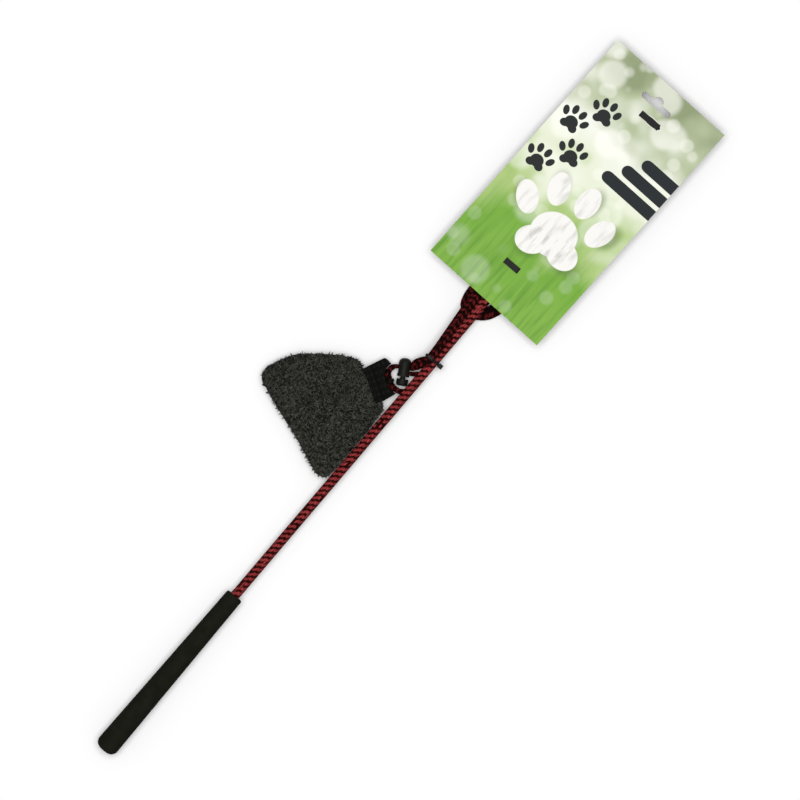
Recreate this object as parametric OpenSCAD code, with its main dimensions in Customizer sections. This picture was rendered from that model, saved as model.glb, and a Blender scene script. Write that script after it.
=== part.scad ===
// Dog flirt pole tied to its hang card: a braided whip rod with a foam grip, the hollow cord
// that runs on from its tip, and a pile lure on the cord's loop. It lies on a table, in millimetres.
// The pole runs along +X from its butt, +Z is up, and the lure lies on the +Y side.

/* [Grip] */
// Length of the foam grip
grip_len = 178; // [140:1:220]
// Diameter of the grip at its butt
grip_butt_d = 20.5; // [18:0.5:26]
// Diameter of the grip at its neck
grip_neck_d = 16; // [13:0.5:20]
// Rounding of the butt's edge
grip_butt_round = 7; // [4:0.5:8]
// Rounding of the neck's edge
grip_neck_round = 1.5; // [0.5:0.25:2.5]
// Foam behind the end of the bore
grip_floor = 10; // [6:0.5:20]

/* [Rod] */
// Diameter of the glass-fibre rod
rod_d = 5.6; // [4:0.1:6.5]
// Outer diameter of the braided sleeve
sleeve_d = 8.6; // [7.5:0.1:9.5]
// Distance from the butt to the end of the sleeve
pole_len = 716; // [600:1:800]
// Length of the plug behind the rod
butt_plug_len = 5; // [3:0.5:10]
// Length of the cap on the rod's tip
tip_cap_len = 7; // [4:0.5:12]
// Sleeve past the tip cap
tip_slack = 1; // [0.5:0.25:5]

/* [Cord] */
// Width of the folded cord
fold_w = 7.2; // [5:0.1:7.5]
// Thickness of the folded cord
fold_t = 4.6; // [3.5:0.1:4.8]
// Width of the cord where the ties flatten it
lead_w = 8; // [6:0.1:8.2]
// Thickness of the cord where the ties flatten it
lead_t = 4.4; // [3:0.1:4.4]
// Diameter of the cord where it is drawn into the loop
loop_d = 4.6; // [3.5:0.1:4.8]
// Diameter of the cord pinched in the lock
pinch_d = 4; // [3:0.1:4.2]

/* [Card] */
// Length of the hang card
card_len = 247; // [200:1:300]
// Width of the hang card
card_w = 125; // [100:1:160]
// Thickness of the hang card
card_t = 0.6; // [0.4:0.05:1.2]
// Sideways shift of the card from the pole
card_shift = 0; // [-4:0.5:4]
// Turn of the card on the pole, in degrees
card_turn = -1.4; // [-2:0.1:2]
// Length of the hang slot
slot_len = 32; // [28:0.5:34]
// Width of the hang slot
slot_w = 6; // [5:0.25:7]
// Diameter of the hump in the hang slot
slot_hump_d = 9.5; // [8:0.25:11]
// Distance from the card's top edge to the middle of the hang slot
slot_drop = 20.2; // [14:0.2:21]

/* [Ties] */
// Thickness of a tie's band
tie_t = 1; // [0.8:0.05:1.2]
// Width of the bands that hold the card
card_tie_w = 5.5; // [4:0.25:5.5]
// Width of the band that holds the cord to the pole
bundle_tie_w = 2.6; // [2:0.1:4]
// Side of a tie's square head
tie_head = 4.2; // [3:0.1:5]
// Distance from the sleeve's end back to the tie round the pole and the cord
bundle_tie_back = 268; // [261:1:268]
// Distance from the card's lower edge to its lower tie
lower_tie_rise = 37.6; // [36:0.2:58]
// Distance from the sleeve's end on to the card's upper tie
upper_tie_step = 15; // [14:0.2:15.4]
// Distance from the card's top edge to its upper tie
upper_tie_drop = 34.4; // [34:0.2:36]

/* [Cord lock] */
// Diameter of the lock's barrel
lock_d = 11; // [10:0.25:12]
// Length of the barrel
lock_len = 16.4; // [15.5:0.1:20]
// Bore of the barrel
lock_bore_d = 8; // [7:0.1:8.6]
// Depth of the bore
lock_bore_depth = 14.8; // [14.5:0.1:15]
// Diameter of the push button
button_d = 10.4; // [9:0.1:11]
// Length of the push button
button_len = 6; // [3:0.1:6]
// Diameter of the button's neck outside the barrel
button_neck_d = 5; // [4.6:0.1:6]
// Travel of the push button
button_travel = 2; // [1:0.1:2]
// Wire of the lock's spring
spring_wire = 0.5; // [0.3:0.05:0.5]

/* [Lure] */
// Length of the lure from its neck to its far edge
lure_len = 86; // [60:1:100]
// Half of the lure's width at its far edge
lure_half_w = 55; // [40:1:55]
// Height of the upper panel above the seam
lure_crown = 11; // [8:0.5:16]
// Depth that the lower panel would bulge below the seam if no table held it
lure_belly = 10; // [9:0.5:14]
// Thickness of a pile panel at its crown
panel_t = 5; // [3:0.5:6]

/* [Tab] */
// Width of the webbing tab
tab_w = 35.5; // [28:0.5:38]
// Length of the tab from the cord to the end over the neck
tab_len = 18.5; // [17:0.5:24]
// Thickness of one layer of webbing
web_t = 1.2; // [0.8:0.1:1.5]
// Thickness of the neck between the two layers
neck_t = 5; // [3:0.5:6]
// Width of the keeper round the cord
keeper_w = 3; // [2.5:0.5:5.5]

/* [Hidden] */

// Overrun of every cut
cut = 1;
// Clearance between pieces that are pushed or sewn together
fit = 0.1;
// Clearance of pieces that lie against each other
lay = 0.3;

// Pole: its axis lies half the butt's diameter above the table
axis_z = grip_butt_d / 2;
bore_d = sleeve_d + 2 * fit;
rod_from = grip_floor + butt_plug_len;
rod_to = pole_len - tip_slack - tip_cap_len;
bundle_tie_at = pole_len - bundle_tie_back;
// Pole length that the cord was laid out on: what is packed along the pole moves with the sleeve's end
laid_len = 716;
packed = [pole_len - laid_len, 0, 0];

// Card: it rests on the pole and hangs from its upper tie
card_z = axis_z + sleeve_d / 2 + lay;
upper_tie_at = pole_len + upper_tie_step;
card_low = upper_tie_at + upper_tie_drop - card_len;
card_middle = [card_low + card_len / 2, card_shift];
card_corners = [for (x = [-1, 1], y = [-1, 1])
    card_middle + [[cos(card_turn), -sin(card_turn)], [sin(card_turn), cos(card_turn)]]
        * [x * card_len / 2, y * card_w / 2]];
card_top = max([for (c = card_corners) c[0]]);
card_edge_y = min([for (c = card_corners) c[1]]);
lower_tie_at = card_low + lower_tie_rise;
hump_share = 0.5;

// Centre of the lock's cord hole, and the way its barrel points
lock_place = [425, 15.2, 5.8];
lock_at = packed + lock_place;
lock_angle = 31;
// Side step of the two strands in the lock, and the lock's sizes along its axis from their middle
strand_step = 2.25;
lock_foot = 5.8;
lock_round = 4.5;
stem_d = lock_bore_d - 2 * fit;
hole_half = strand_step + pinch_d / 2 + 1.5 * fit;
hole_t = pinch_d + 6 * fit;
stem_web = 1;
stem_tip = hole_half + stem_web;
button_face = -lock_foot - button_travel - 2 * fit;
button_round = 2;
bore_end = lock_bore_depth - lock_foot;
spring_turns = 3;
spring_r = stem_d / 2 - spring_wire - 2 * fit;
spring_from = stem_tip + spring_wire / 2 + fit;
spring_to = bore_end - spring_wire / 2 - fit;

// Keeper of the tab: the point of the loop that it holds, and the way the tab points
hinge_place = [409.7, 18.1, 8];
hinge = packed + hinge_place;
tab_angle = 150;
tab_shift = -3.2;
keeper_play = 0.5;
keeper_wall = 1.2;
keeper_bore_d = loop_d + 2 * keeper_play;
keeper_d = keeper_bore_d + 2 * keeper_wall;
// Reach of the webbing past the cord, its cut corners, its skew, and its room beside the loop
ear_reach = 6;
ear_chamfer = 3;
tab_chamfer = 4.5;
tab_skew = 2.2;
loop_play = 1.2;
fork_from_share = 0.45;
fork_share = 0.66;
tongue_share = 0.6;

// Lure: outline in shares of its length and half width from the neck, and its crown
neck_inset = 1;
neck_x = tab_len - neck_inset;
lure_shares = [[0.01, -0.35], [0.05, -0.46], [0.15, -0.57], [0.36, -0.74], [0.6, -0.87], [0.8, -0.89],
               [0.95, -0.84], [1.01, -0.72], [0.99, -0.42], [0.9, 0.28], [0.84, 0.76], [0.8, 0.98],
               [0.73, 1.05], [0.6, 0.96], [0.4, 0.78], [0.16, 0.55], [0.05, 0.44], [0.01, 0.34]];
lure_middle_share = 0.54;
crown_shares = [[1, 0.2], [0.98, 0.4], [0.93, 0.57], [0.82, 0.76], [0.63, 0.9], [0.36, 0.98]];
lining_share = 0.86;
outline_steps = 3;

// Cord route from the sleeve's end, through its folds behind the card
fold_points = [
    [716, 0, 10.25], [722, 0, 10.25], [730.5, -2.4, 9.6], [736.5, -8.5, 8.2], [738.5, -16, 6.4],
    [735, -23.5, 4.6], [727, -28, 3.1], [710, -29.5, 2.3], [685, -29.5, 2.3], [658, -29, 2.3],
    [632, -27.5, 2.3], [606, -25.5, 2.3], [580, -22.5, 2.3], [558, -19, 2.3], [540, -16, 2.3],
    [522, -13, 2.3],
    [510.5, -8.5, 2.3], [503.5, -1.5, 2.3], [500.5, 6, 2.3], [503, 12, 2.3],
    [511, 15, 2.3], [522, 16, 2.3], [540, 18, 2.3], [560, 21, 2.3], [585, 25.5, 2.3],
    [612, 30, 2.3], [640, 33.5, 2.3], [668, 35, 2.3], [690, 35, 2.3], [699, 31, 2.3],
    [703, 22, 2.3], [699, 13, 2.3], [690, 9, 2.3], [680, 9, 2.3]];
// Cord route along the pole to the lock, round the loop and back into the lock
lead_points = [
    [680, 9, 2.3], [668, 9, 2.3], [648, 8.5, 2.6], [626, 7, 3], [602, 5.8, 3.4], [578, 5, 3.6],
    [556, 5, 3.6], [542, 5.6, 4], [529, 7.4, 6], [517, 8.5, 9.2], [505, 8.5, 12.2], [492, 7.6, 14.4],
    [476, 6.4, 15.2], [457, 4.6, 16.2], [445.5, 4.6, 16.2], [441.5, 6.8, 14.4], [437, 9.4, 11.2],
    [433.4, 10.2, 7.8], [430.5, 10.4, 5.8], [426.9, 16.4, 5.8], [423.4, 22.3, 5.8],
    [420.3, 24.6, 6], [416.4, 24.9, 6.6], [413.2, 23.4, 7.4], [411.2, 20.7, 8], [408.2, 15.5, 8],
    [407.3, 11.2, 7.2], [407.9, 6.9, 5.6], [410.5, 2.5, 3.4], [415, -0.8, 2.4], [420.5, -1.9, 2.3],
    [426, -1, 2.4], [430, 2.5, 3.6], [426.6, 8.1, 5.8], [423.1, 14, 5.8], [421, 17.5, 5.8]];
// Rings of the lead at the ties, where it starts to narrow, its pinched rings, and those of its loop
card_tie_ring = 6;
tie_ring = 14;
narrow_from = 16;
narrow_to = 18;
pinched = [18, 19, 20, 33, 34, 35];
loop_rings = [20 : 28];
cord_sides = 10;
fold_route = [for (p = fold_points) p + packed];
lead_route = [for (p = lead_points) p + packed];
cord_over_pole = lead_route[tie_ring];
cord_at_card = lead_route[card_tie_ring];

// The part is centred over its own footprint
outline = smooth([for (s = lure_shares) [neck_x + s[0] * lure_len, s[1] * lure_half_w]], outline_steps);
lure_edge_y = max([for (p = outline) hinge[1] + p[0] * sin(tab_angle) + p[1] * cos(tab_angle)]);
middle = [card_top / 2, (lure_edge_y + card_edge_y) / 2];

function arc(c, r, from, to, steps) =
    [for (i = [0 : steps]) let (a = from + (to - from) * i / steps) c + r * [cos(a), sin(a)]];

// Closed smooth curve through the points p, with n steps between two of them
function smooth(p, n) = let (m = len(p))
    [for (i = [0 : m - 1], k = [0 : n - 1])
        let (a = p[(i + m - 1) % m], b = p[i], c = p[(i + 1) % m], d = p[(i + 2) % m], t = k / n)
        (2 * b + (c - a) * t + (2 * a - 5 * b + 4 * c - d) * t * t
            + (3 * b - a - 3 * c + d) * t * t * t) / 2];

function unit(v) = v / norm(v);
function heading(p, i) = unit(p[min(i + 1, len(p) - 1)] - p[max(i - 1, 0)]);

// Tube of oval rings along the route p, with a width and a thickness at each point
module tube(p, sizes, sides) {
    rings = [for (i = [0 : len(p) - 1])
        let (t = heading(p, i), across = unit(cross([0, 0, 1], t)), up = cross(t, across))
        for (k = [0 : sides - 1])
            let (a = 360 * (k + 0.5) / sides)
            p[i] + across * sizes[i][0] / 2 * cos(a) + up * sizes[i][1] / 2 * sin(a)];
    last = (len(p) - 1) * sides;
    skin = [for (i = [0 : len(p) - 2], k = [0 : sides - 1])
        let (a = i * sides + k, b = i * sides + (k + 1) % sides)
        for (f = [[a, a + sides, b], [b, a + sides, b + sides]]) f];
    ends = concat([for (k = [1 : sides - 2]) [0, k, k + 1]],
                  [for (k = [1 : sides - 2]) [last, last + k + 1, last + k]]);
    polyhedron(rings, concat(skin, ends));
}

// Crowned pad over the outline p, flat at its seam, with a skirt below it
module crown(p, middle, share, height, skirt = 0) {
    n = len(p);
    levels = concat([[1, 0]], crown_shares);
    rings = [for (l = levels, q = p)
        let (xy = middle + (q - middle) * l[0] * share)
        [xy[0], xy[1], l[1] > 0 ? l[1] * height : -skirt]];
    top = len(rings);
    points = concat(rings, [[middle[0], middle[1], height], [middle[0], middle[1], -skirt]]);
    sides = [for (l = [0 : len(levels) - 2], k = [0 : n - 1])
        let (a = l * n + k, b = l * n + (k + 1) % n)
        for (f = [[a, a + n, b], [b, a + n, b + n]]) f];
    caps = [for (k = [0 : n - 1]) let (a = (len(levels) - 1) * n + k, b = (len(levels) - 1) * n + (k + 1) % n)
        [a, top, b]];
    base = [for (k = [0 : n - 1]) [k, (k + 1) % n, top + 1]];
    polyhedron(points, concat(sides, caps, base));
}

module placed() {
    translate([-middle[0], -middle[1], 0]) children();
}

module on_pole(at) {
    placed() translate([at, 0, axis_z]) rotate([0, 90, 0]) children();
}

module at_lock() {
    placed() translate(lock_at) rotate([0, 0, lock_angle]) children();
}

module at_hinge() {
    placed() translate(hinge) rotate([0, 0, tab_angle]) children();
}

module grip() {
    butt_r = grip_butt_d / 2;
    neck_r = grip_neck_d / 2;
    color("#1b1b18") on_pole(0) difference() {
        rotate_extrude($fn = 96) polygon(concat(
            [[0, 0]],
            arc([butt_r - grip_butt_round, grip_butt_round], grip_butt_round, -90, 0, 10),
            arc([neck_r - grip_neck_round, grip_len - grip_neck_round], grip_neck_round, 0, 90, 6),
            [[0, grip_len]]));
        translate([0, 0, grip_floor]) cylinder(d = bore_d, h = grip_len - grip_floor + cut, $fn = 64);
    }
}

module butt_plug() {
    color("#2b2b2b") on_pole(grip_floor) cylinder(d = sleeve_d, h = butt_plug_len, $fn = 64);
}

module core_rod() {
    color("#d8d2b8") on_pole(rod_from) cylinder(d = rod_d, h = rod_to - rod_from, $fn = 48);
}

module tip_cap() {
    color("#2b2b2b") on_pole(rod_to) {
        cylinder(d = rod_d, h = tip_cap_len - rod_d / 2, $fn = 48);
        translate([0, 0, tip_cap_len - rod_d / 2]) sphere(d = rod_d, $fn = 48);
    }
}

module braided_sleeve() {
    color("#7d1a20") on_pole(rod_from) difference() {
        cylinder(d = sleeve_d, h = pole_len - rod_from, $fn = 64);
        translate([0, 0, -cut]) cylinder(d = rod_d + 2 * fit, h = pole_len - rod_from + 2 * cut, $fn = 64);
    }
}

module cord_folds() {
    sizes = [for (i = [0 : len(fold_route) - 1]) i == 0 ? [sleeve_d, sleeve_d] : [fold_w, fold_t]];
    color("#7d1a20") placed() tube(fold_route, sizes, cord_sides);
}

// Width and thickness of the lead at ring i: flat, then drawn narrow, and pinched in the lock
function lead_size(i) =
    len(search(i, pinched)) > 0 ? [pinch_d, pinch_d] :
    i == 0 ? [fold_w, fold_t] :
    i <= narrow_from ? [lead_w, lead_t] :
    i >= narrow_to ? [loop_d, loop_d] :
    let (t = (i - narrow_from) / (narrow_to - narrow_from))
        [lead_w + (loop_d - lead_w) * t, lead_t + (loop_d - lead_t) * t];

// The cord's least gap to itself, between rings more than a bend apart
cord_rings = concat([for (i = [1 : len(fold_route) - 2]) [fold_route[i], fold_w]],
                    [for (i = [0 : len(lead_route) - 1]) [lead_route[i], lead_size(i)[0]]]);
bend_rings = 6;
cord_gap = min([for (i = [0 : len(cord_rings) - 1], j = [i + bend_rings : 1 : len(cord_rings) - 1])
    norm(cord_rings[i][0] - cord_rings[j][0]) - (cord_rings[i][1] + cord_rings[j][1]) / 2]);
echo(cord_gap = cord_gap);

module cord_lead() {
    sizes = [for (i = [0 : len(lead_route) - 1]) lead_size(i)];
    color("#7d1a20") placed() tube(lead_route, sizes, cord_sides);
}

// Oblong hole across the lock, from one end to the other along its axis
module strand_hole(from, to) {
    rotate([90, 0, 0]) translate([0, 0, -lock_d / 2 - cut]) linear_extrude(lock_d + 2 * cut) {
        translate([from + hole_t / 2, -hole_t / 2]) square([to - from - hole_t, hole_t]);
        for (x = [from + hole_t / 2, to - hole_t / 2])
            translate([x, 0]) circle(d = hole_t, $fn = 48);
    }
}

module lock_barrel() {
    color("#15160f") at_lock() difference() {
        translate([-lock_foot, 0, 0]) rotate([0, 90, 0]) difference() {
            rotate_extrude($fn = 64) polygon(concat(
                [[0, 0], [lock_d / 2, 0]],
                arc([lock_d / 2 - lock_round, lock_len - lock_round], lock_round, 0, 90, 8),
                [[0, lock_len]]));
            translate([0, 0, -cut]) cylinder(d = lock_bore_d, h = lock_bore_depth + cut, $fn = 64);
        }
        strand_hole(-hole_half, hole_half);
    }
}

module lock_button() {
    color("#15160f") at_lock() difference() {
        union() {
            translate([-lock_foot, 0, 0]) rotate([0, 90, 0])
                cylinder(d = stem_d, h = stem_tip + lock_foot, $fn = 64);
            translate([button_face - fit, 0, 0]) rotate([0, 90, 0])
                cylinder(d = button_neck_d, h = stem_tip - button_face, $fn = 64);
            translate([button_face - button_len, 0, 0]) rotate([0, 90, 0])
                rotate_extrude($fn = 64) polygon(concat(
                    [[0, 0]],
                    arc([button_d / 2 - button_round, button_round], button_round, -90, 0, 6),
                    [[button_d / 2, button_len], [0, button_len]]));
        }
        strand_hole(-hole_half - button_travel, hole_half);
    }
}

function spring_point(a) = [spring_from + (spring_to - spring_from) * a / 360 / spring_turns,
                            spring_r * cos(a), spring_r * sin(a)];

// The spring's least gap to itself, between points a turn apart
spring_gap = norm(spring_point(360) - spring_point(0)) - spring_wire;
echo(spring_gap = spring_gap);

module lock_spring() {
    steps = 8;
    sides = 6;
    count = steps * spring_turns;
    rings = [for (i = [0 : count])
        let (a = 360 * i / steps, c = spring_point(a), out = [0, cos(a), sin(a)])
        for (k = [0 : sides - 1])
            c + spring_wire / 2 * (cos(360 * k / sides) * out + sin(360 * k / sides) * [1, 0, 0])];
    skin = [for (i = [0 : count - 1], k = [0 : sides - 1])
        let (a = i * sides + k, b = i * sides + (k + 1) % sides)
        for (f = [[a, b, a + sides], [b, b + sides, a + sides]]) f];
    last = count * sides;
    ends = concat([for (k = [1 : sides - 2]) [0, k + 1, k]],
                  [for (k = [1 : sides - 2]) [last, last + k, last + k + 1]]);
    color("silver") at_lock() polyhedron(rings, concat(skin, ends));
}

// Outline of a tie round the pole and the cord beside it, with a margin
module bundle_outline(margin) {
    hull() {
        translate([0, axis_z]) circle(d = sleeve_d + 2 * margin, $fn = 32);
        for (s = [-1, 1])
            translate([cord_over_pole[1] + s * (lead_w - lead_t) / 2, cord_over_pole[2]])
                circle(d = lead_t + 2 * margin, $fn = 32);
    }
}

module bundle_tie() {
    color("#101010") placed() translate([bundle_tie_at - bundle_tie_w / 2, 0, 0]) rotate([90, 0, 90]) {
        linear_extrude(bundle_tie_w) difference() {
            bundle_outline(fit + tie_t);
            bundle_outline(fit);
        }
        translate([-sleeve_d / 2 - fit - tie_t / 2 - tie_head, axis_z - tie_head / 2,
                   (bundle_tie_w - tie_head) / 2])
            cube([tie_head, tie_head, tie_head]);
    }
}

module rounded_box_2d(size, r) {
    translate([r, 0]) square([size[0] - 2 * r, size[1]]);
    translate([0, r]) square([size[0], size[1] - 2 * r]);
    for (x = [r, size[0] - r], y = [r, size[1] - r])
        translate([x, y]) circle(r = r, $fn = 32);
}

// Inner sides of a card tie's loop at y, and its inner floor
lower_sides = [-sleeve_d / 2 - fit, cord_at_card[1] + lead_w / 2 + lay];
lower_floor = min(axis_z - sleeve_d / 2, cord_at_card[2] - lead_t / 2) - fit;
upper_sides = [-16.5, 2.2];
upper_floor = 5.6;
tie_taper_share = 0.2;

// A band that is widest at the middle of its loop and narrower where it enters the card
module card_tie(at, sides, floor_z) {
    loop = [sides[1] - sides[0], card_z + card_t + fit - floor_z];
    taper = card_tie_w * tie_taper_share;
    bow = ((loop[0] / 2) ^ 2 + taper ^ 2) / (2 * taper);
    placed() translate([at - card_tie_w / 2, 0, 0]) rotate([90, 0, 90]) {
        intersection() {
            translate([sides[0], floor_z]) linear_extrude(card_tie_w) difference() {
                translate([-tie_t, -tie_t]) rounded_box_2d(loop + 2 * [tie_t, tie_t], tie_t);
                square(loop);
            }
            for (z = [bow, card_tie_w - bow])
                translate([(sides[0] + sides[1]) / 2, -cut, z]) rotate([-90, 0, 0])
                    cylinder(r = bow, h = card_z + card_t + tie_t + 3 * cut, $fn = 128);
        }
        translate([sides[0] - tie_t - tie_head + fit, axis_z - tie_head / 2, (card_tie_w - tie_head) / 2])
            cube([tie_head, tie_head, tie_head]);
    }
}

module card_tie_lower() {
    color("#101010") card_tie(lower_tie_at, lower_sides, lower_floor);
}

module card_tie_upper() {
    color("#101010") card_tie(upper_tie_at, upper_sides, upper_floor);
}

module hang_slot() {
    translate([-slot_w / 2, -slot_len / 2 + slot_w / 2]) square([slot_w, slot_len - slot_w]);
    for (s = [-1, 1])
        translate([0, s * (slot_len - slot_w) / 2]) circle(d = slot_w, $fn = 48);
    translate([slot_w * hump_share, 0]) circle(d = slot_hump_d, $fn = 64);
}

// Pair of slits that a card tie passes through
module tie_slits(at, sides) {
    for (y = [sides[0] - tie_t - fit, sides[1] - fit])
        translate([at - card_tie_w / 2 - fit, y]) square([card_tie_w + 2 * fit, tie_t + 2 * fit]);
}

module hang_card() {
    color("#c9d3a4") placed() translate([0, 0, card_z]) linear_extrude(card_t) difference() {
        translate(card_middle) rotate(card_turn) difference() {
            square([card_len, card_w], center = true);
            translate([card_len / 2 - slot_drop, 0]) hang_slot();
        }
        tie_slits(lower_tie_at, lower_sides);
        tie_slits(upper_tie_at, upper_sides);
    }
}

// Place of a point of the cord in the tab's own frame, seen from above
function in_tab(p) = let (d = p - hinge)
    [d[0] * cos(tab_angle) + d[1] * sin(tab_angle), d[1] * cos(tab_angle) - d[0] * sin(tab_angle)];

// Webbing seen from above: a skewed square with two cut corners, whose edge follows the cord's loop
module tab_plan() {
    low = tab_shift - tab_w / 2;
    high = tab_shift + tab_w / 2;
    loop = [for (i = loop_rings)
        let (way = unit(in_tab(lead_route[i + 1]) - in_tab(lead_route[i - 1])))
        in_tab(lead_route[i]) + (loop_d / 2 + loop_play) * [way[1], -way[0]]];
    far = -2 * tab_len;
    difference() {
        polygon([[tab_len, low + tab_skew], [ear_chamfer - ear_reach, low],
                 [-ear_reach, low + 2 * ear_chamfer], [-ear_reach, high - tab_skew],
                 [tab_len - tab_chamfer, high], [tab_len, high - tab_chamfer]]);
        polygon(concat(loop, [[far, loop[len(loop) - 1][1]], [far, loop[0][1]]]));
    }
}

// Room that the tab takes out of the lure, over its whole height
module tab_room() {
    translate([0, 0, -lure_belly - cut]) linear_extrude(2 * (lure_belly + lure_crown + cut))
        offset(delta = fit) tab_plan();
}

lure_middle = [neck_x + lure_middle_share * lure_len, 0];

// One panel above the seam: a crowned shell with the flat tongue that the tab grips, cut off at a ceiling
module panel(height, ceiling) {
    intersection() {
        union() {
            difference() {
                crown(outline, lure_middle, 1, height, cut);
                crown(outline, lure_middle, lining_share, height - panel_t, 2 * cut);
                tab_room();
            }
            translate([tab_len * fork_share, tab_shift - tab_w * tongue_share / 2, -cut])
                cube([tab_len * (1 - fork_share) + panel_t, tab_w * tongue_share, neck_t / 2 - fit + cut]);
        }
        translate([0, -2 * lure_half_w, 0]) cube([2 * lure_len, 4 * lure_half_w, ceiling]);
    }
}

module lure_top_panel() {
    color("#34362f") at_hinge() panel(lure_crown, lure_crown + cut);
}

module lure_under_panel() {
    color("#34362f") at_hinge() mirror([0, 0, 1]) panel(lure_belly, hinge[2]);
}

module lure_filling() {
    share = lining_share - lay / lure_half_w;
    color("#e6e2d6") at_hinge() difference() {
        union() {
            crown(outline, lure_middle, share, lure_crown - panel_t - lay);
            mirror([0, 0, 1]) crown(outline, lure_middle, share, lure_belly - panel_t - lay);
        }
        translate([0, -tab_w, -lure_belly])
            cube([tab_len + panel_t + lay, 2 * tab_w, lure_belly + lure_crown]);
    }
}

module lure_tab() {
    half = neck_t / 2;
    fold_x = tab_len * fork_from_share;
    fork_x = tab_len * fork_share;
    color("#0f110f") at_hinge() difference() {
        union() {
            intersection() {
                translate([0, tab_shift + tab_w / 2, 0]) rotate([90, 0, 0]) linear_extrude(tab_w)
                    polygon([[-ear_reach, -web_t], [fold_x, -web_t], [fork_x, -half - web_t],
                             [tab_len, -half - web_t], [tab_len, -half], [fork_x, -half], [fold_x, 0],
                             [fork_x, half], [tab_len, half], [tab_len, half + web_t],
                             [fork_x, half + web_t], [fold_x, web_t], [-ear_reach, web_t]]);
                translate([0, 0, -keeper_d]) linear_extrude(2 * keeper_d) tab_plan();
            }
            rotate([90, 0, 0]) translate([0, 0, -keeper_w / 2])
                cylinder(d = keeper_d, h = keeper_w, $fn = 48);
        }
        rotate([90, 0, 0]) translate([0, 0, -keeper_w / 2 - cut])
            cylinder(d = keeper_bore_d, h = keeper_w + 2 * cut, $fn = 48);
    }
}

grip();
butt_plug();
core_rod();
tip_cap();
braided_sleeve();
cord_folds();
cord_lead();
lock_barrel();
lock_button();
lock_spring();
bundle_tie();
card_tie_lower();
card_tie_upper();
hang_card();
lure_top_panel();
lure_under_panel();
lure_filling();
lure_tab();
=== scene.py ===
"""Dog flirt pole tied to its hang card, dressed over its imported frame.

Blender lengths are in metres. Sizes in the classes below are in millimetres, in the pole's own
frame: x along the pole from its butt, y to the lure's side, z up from the table.
"""

from __future__ import annotations

import logging
import math
from dataclasses import dataclass, field
from enum import Enum
from typing import Any, Sequence

import bmesh
import bpy
import numpy as np
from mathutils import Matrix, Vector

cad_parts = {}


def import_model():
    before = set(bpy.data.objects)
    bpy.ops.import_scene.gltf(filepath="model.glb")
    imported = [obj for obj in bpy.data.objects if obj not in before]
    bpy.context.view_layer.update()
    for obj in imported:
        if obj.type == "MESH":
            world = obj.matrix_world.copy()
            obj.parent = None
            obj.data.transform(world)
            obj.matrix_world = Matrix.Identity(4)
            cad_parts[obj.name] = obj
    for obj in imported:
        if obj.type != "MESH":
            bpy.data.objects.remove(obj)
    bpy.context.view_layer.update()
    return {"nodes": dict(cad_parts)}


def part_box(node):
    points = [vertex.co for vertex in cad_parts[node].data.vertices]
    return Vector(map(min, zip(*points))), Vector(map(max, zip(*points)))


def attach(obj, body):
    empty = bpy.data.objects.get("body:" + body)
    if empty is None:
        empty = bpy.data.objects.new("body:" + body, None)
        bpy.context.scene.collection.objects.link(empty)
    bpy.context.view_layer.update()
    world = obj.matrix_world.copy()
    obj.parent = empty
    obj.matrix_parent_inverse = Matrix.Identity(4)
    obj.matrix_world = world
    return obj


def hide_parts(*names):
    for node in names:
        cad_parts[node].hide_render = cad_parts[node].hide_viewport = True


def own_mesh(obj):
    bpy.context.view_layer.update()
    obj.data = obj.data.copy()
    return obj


LOG = logging.getLogger("flirt_pole")
MM = 0.001
TINY = 1e-9
Hex = str
Key = str | int
Pair = tuple[float, float]
Place = tuple[float, float, float]
Faces = list[list[int]]
Feed = bpy.types.Node | bpy.types.NodeSocket


class Body(Enum):
    """Rigid bodies that the pieces ride on."""

    POLE = "pole"
    LURE = "lure"


class Slot(Enum):
    """Names of material slots, passed along with the pieces but not read."""

    BRAID = "braid"
    PILE = "pile"
    WEBBING = "webbing"
    SPRING = "spring_steel"


def linear(colour: Hex) -> tuple[float, float, float, float]:
    """Turns an sRGB hex colour into linear light.

    Args:
        colour: Six hex digits, with or without a leading #.

    Returns:
        Linear red, green and blue, and full opacity.
    """
    text = colour.lstrip("#")
    parts = [int(text[i : i + 2], 16) / 255 for i in (0, 2, 4)]
    light = [c / 12.92 if c <= 0.04045 else ((c + 0.055) / 1.055) ** 2.4 for c in parts]
    return (light[0], light[1], light[2], 1.0)


def per_mm(size: float) -> float:
    """Gives the texture scale at which one cell is size millimetres, in metre coordinates."""
    return 1.0 / (size * MM)


def cos_sin(degrees: float) -> Pair:
    """Gives the cosine and the sine of an angle in degrees."""
    return math.cos(math.radians(degrees)), math.sin(math.radians(degrees))


def unit(vectors: np.ndarray) -> np.ndarray:
    """Gives vectors the length 1."""
    return vectors / np.maximum(np.linalg.norm(vectors, axis=-1, keepdims=True), TINY)


def run_along(line: np.ndarray) -> np.ndarray:
    """Measures how far along a line each of its points is."""
    return np.concatenate([[0.0], np.cumsum(np.linalg.norm(np.diff(line, axis=0), axis=1))])


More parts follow.
